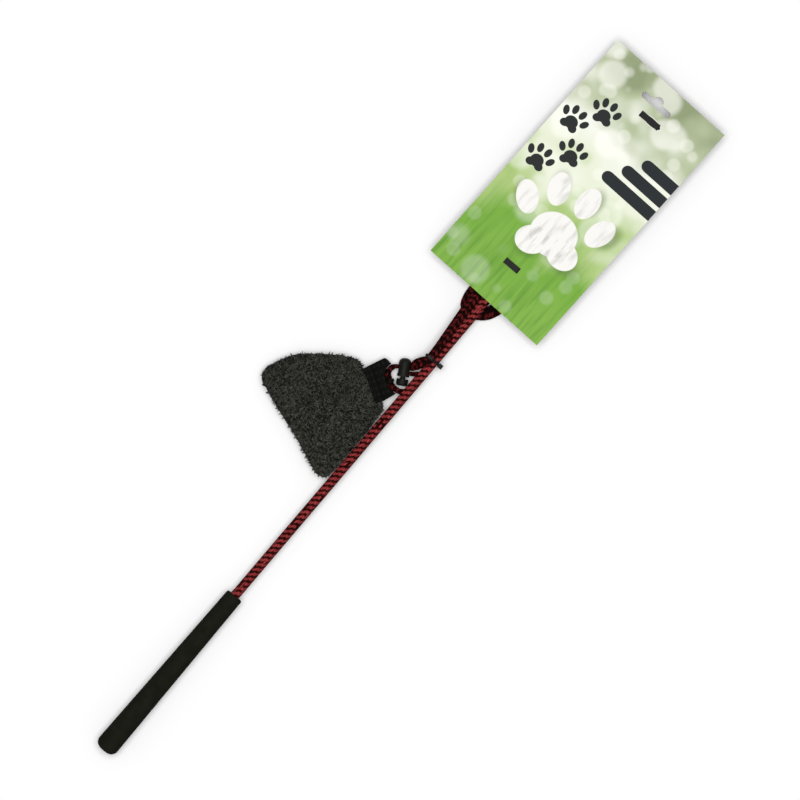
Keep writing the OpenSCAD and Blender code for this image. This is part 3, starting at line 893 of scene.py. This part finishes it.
@dataclass
class FlirtCord:
    """Hollow cord that runs on from the sleeve: folded behind the card, then looped through its lock."""

    sleeve_d: float = 8.8
    fold: Pair = (7.2, 4.6)
    lead: Pair = (8.5, 4.4)
    loop: Pair = (5.3, 4.6)
    pinch: Pair = (4.0, 4.0)
    diameter: float = 7.2
    # Number of a point of the route, and the cord's width where the bend flattens it
    flattened: tuple[tuple[int, float], ...] = (
        (14, 8.4), (15, 11.6), (16, 11.6), (17, 10.0), (18, 8.4), (41, 9.2), (42, 9.6), (43, 9.6), (44, 9.2),
        (48, 9.8), (49, 10.0), (50, 9.0),
    )
    length: float = field(init=False, default=0.0)

    def sizes(self) -> list[Pair]:
        """Lists the cord's sizes along its route.

        Returns:
            Its width and thickness at each point.
        """
        narrowing = ((self.lead[0] + self.loop[0]) / 2, (self.lead[1] + self.loop[1]) / 2)
        route = [(self.sleeve_d, self.sleeve_d)] + [self.fold] * (len(FOLD_ROUTE) - 1)
        route += [self.lead] * 16 + [narrowing] + [self.pinch] * 3 + [self.loop] * 12 + [self.pinch] * 3
        for number, width in self.flattened:
            route[number] = (width, route[number][1])
        return route

    def build(
        self,
        place: PoleFrame,
        braid: Braid,
        yarns: Sequence[bpy.types.Material],
        lock: Sequence[bpy.types.Object],
    ) -> bpy.types.Object:
        """Args:
            place: Frame of the pole.
            braid: The braid's own sizes.
            yarns: The red and the black yarn.
            lock: Pieces of the cord lock; not used.

        Returns:
            The cord.
        """
        route = np.column_stack([np.array(FOLD_ROUTE + LEAD_ROUTE, dtype=float), np.array(self.sizes())])
        track = through(route, 1.0)
        line = track[:, :3]
        self.length = float(run_along(line)[-1]) * MM
        cord = braid.tube("flirt_cord", line, track[:, 3:], yarns, place)
        settle(cord, Body.POLE, Slot.BRAID, "cord_folds", "cord_lead")
        return cord


@dataclass
class LockSpring:
    """Coil spring inside the cord lock, which shortens as its button is pressed."""

    middle: Place = (425.0, 15.2, 5.8)
    turn: float = 31.0
    start: float = 5.75
    end: float = 8.65
    coil_r: float = 3.2
    wire: float = 0.5
    turns: int = 3
    steps: int = 24
    sides: int = 8
    keep: float = 0.41

    def build(self, place: PoleFrame, finish: MouldedFinish) -> bpy.types.Object:
        """Builds the coil.

        Args:
            place: Frame of the pole.
            finish: Finish of the wire.

        Returns:
            The spring.
        """
        c, s = cos_sin(self.turn)
        axes = np.array([[c, s, 0.0], [-s, c, 0.0], [0.0, 0.0, 1.0]])
        count = self.steps * self.turns + 1
        angle = np.arange(count) / self.steps * math.tau
        out = np.column_stack([np.zeros_like(angle), np.cos(angle), np.sin(angle)])
        line = self.coil_r * out
        line[:, 0] = np.linspace(self.start, self.end, count)
        around = (np.arange(self.sides) / self.sides * math.tau)[None, :, None]
        ring = np.cos(around) * out[:, None, :] + np.sin(around) * np.array([1.0, 0.0, 0.0])
        points = (line[:, None, :] + self.wire / 2 * ring).reshape(-1, 3)
        points = place.row(points @ axes + np.array(self.middle))
        faces = join_rings(range(count), self.sides, capped=True)
        spring = make_piece("lock_coil", points, faces, [finish.material()])
        settle(spring, Body.POLE, Slot.SPRING, "lock_spring")
        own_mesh(spring)
        return spring


@dataclass
class Lure:
    """Flat stuffed lure of curly pile: two sewn panels that a webbing tab grips at the neck."""

    hinge: Place = (409.7, 18.1, 8.0)
    turn: float = 150.0
    length: float = 86.0
    half_w: float = 55.0
    neck_x: float = 17.5
    middle_share: float = 0.54
    crown: float = 11.0
    pile: float = 3.0
    # How much lower than the crown each panel stays before it is stuffed
    slack: Pair = (1.2, 2.0)
    tab_len: float = 18.5
    tab_w: float = 35.5
    tab_shift: float = -3.2
    neck_half: float = 2.3
    pole_side: float = 4.7
    skin_gap: float = 0.25
    skin_floor: float = 1.2
    pile_floor: float = 0.4
    # Place of the sewing between middle and edge, its width and its depth
    sewing: Place = (0.945, 0.014, 1.5)
    puckers: int = 17
    pucker: float = 0.06
    pressure: float = 4.0
    frames: int = 20
    cap_mm: float = 3.0
    strands_top: int = 8000
    strands_under: int = 2800
    strand_mm: Pair = (4.2, 6.6)
    curl: Pair = (2.4, 4.6)
    girth: tuple[float, ...] = (0.4, 0.48, 0.48, 0.46, 0.44, 0.4, 0.32, 0.12)
    seed: int = 11
    levels: tuple[float, ...] = (
        1.0, 0.985, 0.965, 0.945, 0.92, 0.89, 0.85, 0.79, 0.7, 0.59, 0.46, 0.32, 0.16,
    )
    shares: tuple[Pair, ...] = (
        (0.01, -0.35), (0.03, -0.48), (0.14, -0.61), (0.35, -0.77), (0.6, -0.9), (0.8, -0.905),
        (0.96, -0.85), (1.02, -0.73), (0.995, -0.42), (0.9, 0.28), (0.85, 0.76), (0.82, 0.99),
        (0.755, 1.085), (0.6, 1.0), (0.4, 0.825), (0.16, 0.6), (0.06, 0.49), (-0.02, 0.41),
        (-0.048, 0.345), (-0.056, 0.2), (-0.056, -0.22), (-0.01, -0.29),
    )

    def spin(self) -> np.ndarray:
        """Gives the turn from the lure's own frame to the pole's."""
        c, s = cos_sin(self.turn)
        return np.array([[c, -s, 0.0], [s, c, 0.0], [0.0, 0.0, 1.0]])

    def to_row(self, points: np.ndarray, place: PoleFrame) -> np.ndarray:
        """Turns points of the lure's own frame, from its hinge, into the row's frame."""
        return place.row(points @ self.spin().T + np.array(self.hinge))

    def to_lure(self, points: np.ndarray) -> np.ndarray:
        """Turns points of the pole's frame into the lure's own frame, from its hinge."""
        return (points - np.array(self.hinge)) @ self.spin()

    def keep_clear(self, points: np.ndarray, gap: float, floor: float) -> np.ndarray:
        """Holds points off the pole's side and off the table.

        Args:
            points: Points of the lure's frame.
            gap: Least distance from the pole's axis, seen from above.
            floor: Least height above the table.

        Returns:
            The points, moved where they have to be.
        """
        out = points.copy()
        side = self.hinge[1] + out @ self.spin()[1]
        out += np.maximum(gap - side, 0.0)[..., None] * self.spin()[1]
        out[..., 2] = np.maximum(out[..., 2], floor - self.hinge[2])
        return out

    def hold(self, points: np.ndarray) -> np.ndarray:
        """Keeps the body clear of the pole and table, and flat where the tab's leaves hold it.

        Args:
            points: Points of the lure's frame.

        Returns:
            The points, moved where they have to be.
        """
        out = self.keep_clear(points, self.pole_side + self.skin_gap, self.skin_floor)
        beyond = np.clip((out[:, 0] - self.tab_len) / 6.0, 0.0, 1.0)
        beside = np.clip((np.abs(out[:, 1] - self.tab_shift) - self.tab_w / 2) / 3.0, 0.0, 1.0)
        limit = self.neck_half + np.maximum(beyond**0.5, beside) * 2 * self.crown
        out[:, 2] = np.clip(out[:, 2], -limit, limit)
        return out

    def skin(self) -> tuple[np.ndarray, Faces, int]:
        """Shapes the sewn body under the pile.

        Returns:
            Its vertices in the lure's frame, its faces, and how many of its first vertices are on the seam.
        """
        middle = np.array([self.neck_x + self.middle_share * self.length, 0.0])
        outline = [(self.neck_x + a * self.length, b * self.half_w) for a, b in self.shares]
        edge = through(outline, 2.6, closed=True)
        n = len(edge)
        rings: list[np.ndarray] = []
        bend = np.arange(n) / n * math.tau
        sewn_at, sewn_width, sewn_depth = self.sewing
        for sign, slack in zip((1.0, -1.0), self.slack):
            rise = self.crown - self.pile - slack
            for level in self.levels if sign > 0 else self.levels[1:]:
                flat = middle + (edge - middle) * level
                fold = self.pucker * math.exp(-(((level - 0.9) / 0.05) ** 2))
                pucker = 1.0 + fold * np.sin(self.puckers * bend)
                # A row of sewing near the edge draws both panels in
                sewn = sewn_depth * math.exp(-(((level - sewn_at) / sewn_width) ** 2))
                lift = sign * (0.9 + rise * (1.0 - level**3.2) ** 0.4545 * pucker - sewn)
                if level == 1.0:
                    lift = np.zeros(n)
                rings.append(np.column_stack([flat, lift]))
        tops = len(self.levels)
        top, under = self.crown - self.pile, self.slack[1] - self.crown
        points = self.hold(np.vstack([*rings, [[*middle, top]], [[*middle, under]]]))
        faces: Faces = []
        for rows, centre, flip in (
            ([*range(tops)], len(points) - 2, False),
            ([0, *range(tops, len(rings))], len(points) - 1, True),
        ):
            shapes = join_rings(rows, n)
            shapes += [[rows[-1] * n + k, rows[-1] * n + (k + 1) % n, centre] for k in range(n)]
            faces += [shape[::-1] if flip else shape for shape in shapes]
        return points, faces, n

    def stuff(self, points: np.ndarray, faces: Faces, seam: int) -> np.ndarray:
        """Swells the sewn body by pressure from inside, with its seam and neck held.

        Args:
            points: Vertices of the body.
            faces: Faces of the body.
            seam: How many of the first vertices are on the seam.

        Returns:
            The vertices of the stuffed body.
        """
        shell = make_piece("lure_shell", points * MM, faces, [])
        beside = np.abs(points[:, 1] - self.tab_shift) < self.tab_w / 2 + 3.0
        neck = np.nonzero((points[:, 0] < self.tab_len + 2.0) & beside)[0]
        held = shell.vertex_groups.new(name="held")
        held.add([*range(seam), *neck.tolist()], 1.0, "REPLACE")
        cloth = shell.modifiers.new("Stuffing", "CLOTH")
        cloth.settings.use_pressure = True
        cloth.settings.uniform_pressure_force = self.pressure
        cloth.settings.vertex_group_mass = held.name
        cloth.settings.effector_weights.gravity = 0.0
        cloth.point_cache.frame_end = self.frames
        scene = bpy.context.scene
        for number in range(1, self.frames + 1):
            scene.frame_set(number)
        swollen = shell.evaluated_get(bpy.context.evaluated_depsgraph_get()).data
        out = np.empty(3 * len(points))
        swollen.vertices.foreach_get("co", out)
        scene.frame_set(1)
        bpy.data.objects.remove(shell)
        move = out.reshape(-1, 3) / MM - points
        far = np.linalg.norm(move, axis=1)
        LOG.info("stuffing moved the lure's skin by up to %.1f mm", far.max())
        return points + move * np.minimum(1.0, self.cap_mm / np.maximum(far, 1e-6))[:, None]

    def roots(
        self, points: np.ndarray, faces: Faces, chance: np.random.Generator
    ) -> tuple[np.ndarray, np.ndarray]:
        """Scatters the roots of the pile over the body, outside the tab.

        Args:
            points: Vertices of the body.
            faces: Faces of the body.
            chance: Source of the random draws.

        Returns:
            The place of each root, and the way that the skin faces there.
        """
        corners = np.array([f[:3] for f in faces] + [[f[0], f[2], f[3]] for f in faces if len(f) == 4])
        a, b, c = (points[corners[:, i]] for i in range(3))
        cross = np.cross(b - a, c - a)
        area = np.linalg.norm(cross, axis=1)
        normal = unit(cross)
        roots, ways = [], []
        for wanted, up in ((self.strands_top, True), (self.strands_under, False)):
            weight = np.where((normal[:, 2] > -0.15) == up, area, 0.0)
            pick = chance.choice(len(corners), wanted, p=weight / weight.sum())
            r1, r2 = np.sqrt(chance.random(wanted))[:, None], chance.random(wanted)[:, None]
            roots.append(a[pick] * (1 - r1) + b[pick] * (r1 * (1 - r2)) + c[pick] * (r1 * r2))
            ways.append(normal[pick])
        root, way = np.vstack(roots), np.vstack(ways)
        inside = root[:, 0] < self.tab_len + 0.4
        inside &= np.abs(root[:, 1] - self.tab_shift) < self.tab_w / 2 + 0.6
        return root[~inside], way[~inside]

    def strands(self, points: np.ndarray, faces: Faces) -> tuple[np.ndarray, np.ndarray, np.ndarray]:
        """Grows short curled strands of pile on the body.

        Args:
            points: Vertices of the body.
            faces: Faces of the body.

        Returns:
            Vertices, faces and a shade per vertex of all the strands, darker towards each root by painted
            shade.
        """
        chance = np.random.default_rng(self.seed)
        root, way = self.roots(points, faces, chance)
        count, steps, sides = len(root), len(self.girth) - 1, 3
        lean = chance.normal(size=(count, 3))
        lean = unit(lean - (lean * way).sum(1)[:, None] * way)
        heading = unit(way + 0.5 * lean)
        axis = np.cross(way, lean)
        length = chance.uniform(*self.strand_mm, count)
        bend = chance.uniform(*self.curl, count) / steps
        centre = root - 0.4 * way
        path, along = [centre], heading
        for _ in range(steps):
            along = along * np.cos(bend)[:, None] + np.cross(axis, along) * np.sin(bend)[:, None]
            centre = centre + along * (length / steps)[:, None]
            path.append(centre)
        line = self.keep_clear(np.stack(path, axis=1), self.pole_side, self.pile_floor)
        # Strands in front of the tab stay in front of it, and those beside it stay beside it
        across = line[..., 1] - self.tab_shift
        ahead = root[:, :1] > self.tab_len
        beyond = ahead & (np.abs(across) < self.tab_w / 2)
        line[..., 0] = np.where(beyond, np.maximum(line[..., 0], self.tab_len + 0.3), line[..., 0])
        held = np.where(across > 0, 1.0, -1.0) * np.maximum(np.abs(across), self.tab_w / 2 + 0.2)
        line[..., 1] = np.where(ahead, line[..., 1], self.tab_shift + held)
        u = unit(np.cross(way, heading))[:, None, None, :]
        v = np.cross(heading, u[:, 0, 0])[:, None, None, :]
        angle = (np.arange(sides) / sides * math.tau)[None, None, :, None]
        ring = (u * np.cos(angle) + v * np.sin(angle)) * np.array(self.girth)[None, :, None, None]
        body = line[:, :, None, :] + ring
        quads = np.array(join_rings(range(steps + 1), sides))
        firsts = np.arange(count)[:, None, None] * (steps + 1) * sides
        tint = chance.beta(1.4, 2.6, count)
        # Each strand's shade runs from dark at its root to its own random tint at the tip: painted shade at
        # the root
        fade = 0.2 + 0.8 * np.linspace(0.0, 1.0, steps + 1)
        shade = np.repeat((fade[None, :] * tint[:, None]).ravel(), sides)
        return body.reshape(-1, 3), (firsts + quads[None]).reshape(-1, 4), shade

    def build(self, place: PoleFrame, skin: PileFinish, pile: PileFinish) -> list[bpy.types.Object]:
        """Builds the stuffed body and its pile.

        Args:
            place: Frame of the pole.
            skin: Finish of the knitted ground.
            pile: Finish of the curled strands.

        Returns:
            The body and the pile.
        """
        points, faces, seam = self.skin()
        points = self.stuff(points, faces, seam)
        points = self.hold(points)
        body = make_piece("lure_body", self.to_row(points, place), faces, [skin.material()])
        smooth = body.modifiers.new("Rounding", "SUBSURF")
        smooth.levels = smooth.render_levels = 1
        settle(body, Body.LURE, Slot.PILE, "lure_top_panel", "lure_under_panel", "lure_filling")
        tips, quads, shade = self.strands(points, faces)
        coat = make_piece("lure_pile", self.to_row(tips, place), quads, [pile.material()])
        add_layer(coat, "Shade", "POINT", shade)
        settle(coat, Body.LURE, Slot.PILE)
        return [body, coat]


@dataclass
class WebbingTab:
    """Folded webbing that grips the lure's neck, with its sewing and the keeper of the cord's loop."""

    lure: Lure
    web: float = 1.2
    neck_half: float = 2.5
    fold_share: float = 0.45
    fork_share: float = 0.66
    ear_reach: float = 6.0
    ear_chamfer: float = 3.0
    chamfer: float = 4.5
    skew: float = 2.2
    loop_r: float = 2.65
    loop_gap: float = 0.32
    corner: float = 1.6
    rounding: float = 0.9
    lip_web: float = 0.7
    lip_y: Pair = (-11.5, 9.5)
    lip_bend: Pair = (-12.0, 72.0)
    keeper_w: float = 3.0
    keeper_r: Pair = (2.95, 3.7)
    keeper_ease: float = 0.25
    stitch_pitch: float = 3.0
    stitch_half: float = 1.1
    stitch_r: float = 0.32
    # Rows of sewing from the hinge: two hold the neck, one closes the fold
    neck_rows: Pair = (13.2, 15.8)
    fold_row: float = 6.6

    def loop_side(self, y: np.ndarray) -> tuple[np.ndarray, np.ndarray, np.ndarray]:
        """Finds how far the tab may reach towards the cord's loop.

        Args:
            y: Places across the tab.

        Returns:
            The least x of the tab at each of them, whether the loop sets it, and the loop's height there.
        """
        low = self.lure.tab_shift - self.lure.tab_w / 2
        cut, ear = self.ear_chamfer, self.ear_reach
        reach = np.interp(y, [low, low + 2 * cut], [cut - ear, -ear])
        loop = self.lure.to_lure(through(LEAD_ROUTE[16:32], 0.4))
        loop = loop[np.abs(loop[:, 2]) < self.loop_r + self.web]
        aside = (self.loop_r + self.loop_gap) ** 2 - (y[:, None] - loop[None, :, 1]) ** 2
        over = np.where(aside > 0, loop[None, :, 0] + np.sqrt(np.maximum(aside, 0.0)), -np.inf)
        height = loop[over.argmax(axis=1), 2]
        return np.maximum(reach, over.max(axis=1)), over.max(axis=1) > reach, height

    def loft(self, rows: Sequence[np.ndarray]) -> tuple[np.ndarray, Faces]:
        """Joins closed profiles of the same count into one solid.

        Args:
            rows: The profiles, in order.

        Returns:
            Its vertices and faces.
        """
        per, count = len(rows[0]), len(rows)
        faces = [[a, d, c, b] for a, b, c, d in join_rings(range(count), per)]
        ends = [list(range(per)), list(range(count * per - 1, (count - 1) * per - 1, -1))]
        return np.vstack(rows), faces + ends

    def round_off(self, rim: np.ndarray) -> np.ndarray:
        """Gives the share of the webbing's thickness that is left at a distance from its edge."""
        return np.sqrt(1.0 - np.clip(1.0 - rim / self.rounding, 0.0, 1.0) ** 2)

    def lip(self) -> tuple[np.ndarray, Faces]:
        """Shapes the webbing's edge that runs on under the cord's loop.

        Returns:
            Its vertices in the lure's frame, and its faces.
        """
        y = np.linspace(*self.lip_y, 44)
        x, held, height = self.loop_side(y)
        bend = np.radians(np.linspace(*self.lip_bend, 10))
        near = self.loop_r + self.loop_gap
        rows = []
        for k in np.nonzero(held)[0]:
            shell = []
            for radius, turns in ((near, bend), (near + self.lip_web, bend[::-1])):
                reach = x[k] - near + radius * np.cos(turns)
                drop = height[k] - radius * np.sin(turns)
                shell.append(np.column_stack([reach, np.full_like(turns, y[k]), drop]))
            rows.append(np.vstack(shell))
        return self.loft(rows)

    def leaves(self) -> tuple[np.ndarray, Faces]:
        """Shapes the folded webbing, closed at the loop's side and open round the neck.

        Returns:
            Its vertices in the lure's frame, and its faces.
        """
        length, half = self.lure.tab_len, self.lure.tab_w / 2
        low, high = self.lure.tab_shift - half, self.lure.tab_shift + half
        span = high - self.skew - low
        edge = np.array([0.0, 0.15, 0.45, 0.9, 1.5])
        apart = np.concatenate([edge, np.linspace(2.1, span - 2.1, 56), span - edge[::-1]])
        rim = np.minimum(apart, span - apart)
        short = np.maximum(self.corner - rim, 0.0)
        inset = self.corner - np.sqrt(np.maximum(self.corner**2 - short**2, 0.0))
        thin = np.maximum(self.round_off(rim), 0.2)
        y_left = low + apart
        x_left = self.loop_side(y_left)[0] + inset
        y_right = y_left + self.skew
        x_right = np.minimum(length, length - self.chamfer + (high - y_right)) - inset
        fold_x, fork_x = length * self.fold_share, length * self.fork_share
        nose = np.array([0.0, 0.12, 0.4, 0.9])
        rows = []
        for k in range(len(apart)):
            far = x_right[k] - x_left[k]
            out = np.concatenate([nose, np.linspace(1.6, far - 1.6, 22), far - nose[::-1]])
            back = np.linspace(far - nose[1], fold_x - x_left[k], 10)
            x = x_left[k] + np.concatenate([out, back, back[-2::-1], out[-2:0:-1]])
            first, second = len(out), len(out) + len(back)
            opening = np.interp(x, [fold_x, fork_x], [0.0, self.neck_half])
            cover = self.web / 2 * self.round_off(np.minimum(x - x_left[k], x_right[k] - x)) * thin[k]
            number = np.arange(len(x))
            within = (number >= first) & (number < len(x) - (len(out) - 2))
            middle = opening + self.web / 2
            z = np.where(number < second, 1.0, -1.0) * np.where(within, middle - cover, middle + cover)
            z[0] = z[second - 1] = 0.0
            y = y_left[k] + self.skew * (x - x_left[k]) / far
            rows.append(np.column_stack([x, y, z]))
        return self.loft(rows)

    def keeper(self) -> tuple[np.ndarray, Faces]:
        """Shapes the narrow band that holds the cord's loop to the tab.

        Returns:
            Its vertices in the lure's frame, and its faces.
        """
        (near, far), half, ease = self.keeper_r, self.keeper_w / 2, self.keeper_ease
        profile = [
            (near, ease - half), (near + ease, -half), (far - ease, -half), (far, ease - half),
            (far, half - ease), (far - ease, half), (near + ease, half), (near, half - ease),
        ]
        turns = 40
        angles = [k / turns * math.tau for k in range(turns)]
        points = [(r * math.cos(angle), y, r * math.sin(angle)) for angle in angles for r, y in profile]
        return np.array(points), join_rings([*range(turns), 0], len(profile))

    def stitches(self) -> tuple[np.ndarray, Faces]:
        """Shapes the rows of sewing on both leaves.

        Returns:
            Their vertices in the lure's frame, and their faces.
        """
        around, beads = 6, 5
        half, face = self.lure.tab_w / 2, self.neck_half + self.web
        low, high = self.lure.tab_shift - half + 4.0, self.lure.tab_shift + half - 5.0
        seams = [(x, z) for z in (face, -face) for x in self.neck_rows]
        seams += [(self.fold_row, self.web), (self.fold_row, -self.web)]
        angle = np.arange(around) / around * math.tau
        stitch = join_rings(range(beads), around, capped=True)
        points: list[Place] = []
        faces: Faces = []
        for x, z in seams:
            for y in np.arange(low, high, self.stitch_pitch):
                base = len(points)
                for t in np.linspace(-1.0, 1.0, beads):
                    girth = self.stitch_r * math.sqrt(max(1.0 - t * t, 0.02))
                    points += [
                        (x + girth * math.cos(a), y + self.stitch_half * t, z + girth * math.sin(a))
                        for a in angle
                    ]
                faces += [[base + k for k in shape] for shape in stitch]
        return np.array(points), faces

    def build(self, place: PoleFrame, finish: WebbingFinish, thread: bpy.types.Material) -> bpy.types.Object:
        """Builds the tab.

        Args:
            place: Frame of the pole.
            finish: Finish of the webbing.
            thread: Finish of its sewing.

        Returns:
            The tab.
        """
        points, faces, tints = np.empty((0, 3)), [], []
        woven = ((self.leaves(), 0), (self.lip(), 0), (self.keeper(), 0), (self.stitches(), 1))
        for (more, shapes), tint in woven:
            faces += [[len(points) + k for k in shape] for shape in shapes]
            tints += [tint] * len(shapes)
            points = np.vstack([points, more])
        points = self.lure.to_row(points, place)
        tab = make_piece("webbing_tab", points, faces, [finish.material(), thread], np.array(tints))
        settle(tab, Body.LURE, Slot.WEBBING, "lure_tab")
        return tab


@dataclass
class Studio:
    """Pale table, soft light and the camera straight above it."""

    centre: Pair = (402.7, 0.85)
    roll: float = -49.62
    view_mm: float = 704.0
    lens: float = 200.0
    sensor: float = 36.0
    reach_m: float = 50.0
    lamp_height_m: float = 3.0
    lamp_side_m: float = 2.3
    lamp_power: float = 78.0
    ambient: float = 0.36
    table_half_m: float = 6.0
    table_drop: float = 0.2
    table_seen: Hex = "#f4f4f4"
    table_bounce: Hex = "#707070"
    table_glow: float = 0.04

    def build(self, place: PoleFrame) -> None:
        """Builds the camera, the table and the lights.

        Args:
            place: Frame of the pole.
        """
        scene = bpy.context.scene
        scene.view_settings.view_transform = "Standard"
        aim = place.row([(*self.centre, 0.0)])[0]
        camera = bpy.data.objects.new("camera", bpy.data.cameras.new("camera"))
        camera.data.lens = self.lens
        camera.data.sensor_width = self.sensor
        camera.data.clip_end = self.reach_m
        camera.location = (aim[0], aim[1], self.view_mm * MM * self.lens / self.sensor)
        camera.rotation_euler = (0.0, 0.0, math.radians(self.roll))
        scene.collection.objects.link(camera)
        scene.camera = camera
        self.table()
        light = bpy.data.lights.new("overhead", "AREA")
        light.energy = self.lamp_power
        light.size = self.lamp_side_m
        lamp = bpy.data.objects.new("overhead", light)
        lamp.location = (0.0, 0.0, self.lamp_height_m)
        scene.collection.objects.link(lamp)
        world = bpy.data.worlds.new("studio")
        scene.world = world
        world.use_nodes = True
        sky = world.node_tree.nodes["Background"].inputs
        sky["Color"].default_value = linear("#ffffff")
        sky["Strength"].default_value = self.ambient

    def table(self) -> None:
        """Builds the table top, white where the camera sees it and grey where it lights the object."""
        mesh = bpy.data.meshes.new("table")
        half, drop = self.table_half_m, -self.table_drop * MM
        corners = [(-half, -half, drop), (half, -half, drop), (half, half, drop), (-half, half, drop)]
        mesh.from_pydata(corners, [], [(0, 1, 2, 3)])
        table = bpy.data.objects.new("table", mesh)
        bpy.context.scene.collection.objects.link(table)
        look = Surface("white_table")
        rays = look.add_node("LightPath").outputs
        seen: Feed = rays["Is Camera Ray"]
        for name in ("Is Glossy Ray", "Is Transmission Ray"):
            seen = look.add_node("Math", {"operation": "MAXIMUM"}, {0: seen, 1: rays[name]})
        glow = look.add_node("Math", {"operation": "MULTIPLY", 1: self.table_glow}, {0: seen})
        tones = {"data_type": "RGBA", 6: linear(self.table_bounce), 7: linear(self.table_seen)}
        paint = look.add_node("Mix", tones, {0: seen}).outputs[2]
        look.feed(look.shader, {"Base Color": paint, "Emission Strength": glow})
        look.shader.inputs["Roughness"].default_value = 0.9
        look.shader.inputs["Specular IOR Level"].default_value = 0.0
        look.shader.inputs["Emission Color"].default_value = linear("#ffffff")
        mesh.materials.append(look.material)


def dress(node: bpy.types.Object, material: bpy.types.Material, edge_mm: float) -> None:
    """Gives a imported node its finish, and softens its edges if it has a rim size.

    Args:
        node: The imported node.
        material: Its finish.
        edge_mm: Size of its softened edges, or 0.
    """
    node.data.materials.clear()
    node.data.materials.append(material)
    if edge_mm > 0:
        rim = node.modifiers.new("Soft edges", "BEVEL")
        rim.width = edge_mm * MM
        rim.segments = 2
        rim.limit_method = "ANGLE"


def middle_of(node: str) -> Pair:
    """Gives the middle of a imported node's box, seen from above, in millimetres."""
    low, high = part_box(node)
    return ((low[0] + high[0]) / 2 / MM, (low[1] + high[1]) / 2 / MM)


def main() -> None:
    """Builds the flirt pole's pieces in order and reports each one."""
    logging.basicConfig(level=logging.INFO, format="%(message)s")
    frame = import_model()
    nodes = frame["nodes"]
    place = PoleFrame()
    Studio().build(place)

    wire = MouldedFinish("drawn_spring_wire", "#a9abae", "#c4c6c9", roughness=0.3, gloss=0.5, metallic=1.0)
    spring = LockSpring().build(place, wire)
    lock = [nodes["lock_barrel"], nodes["lock_button"], spring]
    # The cord's yarn colours are a darker copy of the sleeve's yarns: painted shade on the cord
    cord_yarns_shaded = (
        YarnFinish("red_cord_yarn_painted_shade", "#6c1c1f", "#4c1214", "#200808").material(),
        YarnFinish("black_cord_yarn_painted_shade", "#1e0a08", "#140605", "#0a0403").material(),
    )
    pole_yarns = (
        YarnFinish("red_sleeve_yarn", "#a03f40", "#8a3132", "#571c1b").material(),
        YarnFinish("black_sleeve_yarn", "#340c08", "#280806", "#1a0504").material(),
    )
    cord = FlirtCord()
    cord_braid = Braid(red_share=0.54, turns=0, jitter_mm=0.4, swapped=0.08)
    pieces = [spring, cord.build(place, cord_braid, cord_yarns_shaded, lock)]
    LOG.info("cord %.3f m", cord.length)
    pole_braid = Braid(columns=12, red_share=0.65, lean_mm=1.36, turns=3, jitter_mm=0.2)
    pieces.append(BraidedPole().build(place, pole_braid, pole_yarns))

    foam = FoamFinish()
    acetal = MouldedFinish("moulded_acetal", "#0d0e0a", "#171812")
    nylon = MouldedFinish("moulded_nylon", "#0b0b0a", "#151514", roughness=0.45)
    rubber = MouldedFinish("moulded_rubber", "#242424", "#2e2e2e", roughness=0.8)
    fibre = MouldedFinish("drawn_glass_fibre", "#cdc6aa", "#dcd6bf", roughness=0.35, gloss=0.4)
    board = CardFinish(centre=middle_of("hang_card"), tie=middle_of("card_tie_upper"))
    for finish, edge_mm, names in (
        (foam, 0.0, ["grip"]),
        (acetal, 0.3, ["lock_barrel", "lock_button"]),
        (nylon, 0.3, ["bundle_tie", "card_tie_lower", "card_tie_upper"]),
        (rubber, 0.0, ["butt_plug", "tip_cap"]),
        (fibre, 0.0, ["core_rod"]),
        (board, 0.0, ["hang_card"]),
    ):
        material = finish.material()
        for name in names:
            dress(nodes[name], material, edge_mm)

    skin = PileFinish("knitted_ground", "#12130f", "#1c1d18")
    pile = PileFinish("curled_pile", "#191a16", "#66685e")
    lure = Lure()
    pieces += lure.build(place, skin, pile)
    thread = MouldedFinish("spun_black_thread", "#121311", "#1e1f1c", grain_mm=0.4, roughness=0.7)
    pieces.append(WebbingTab(lure).build(place, WebbingFinish(), thread.material()))
    for piece in pieces:
        LOG.info("%s: %d faces", piece.name, len(piece.data.polygons))


if __name__ == "__main__":
    main()
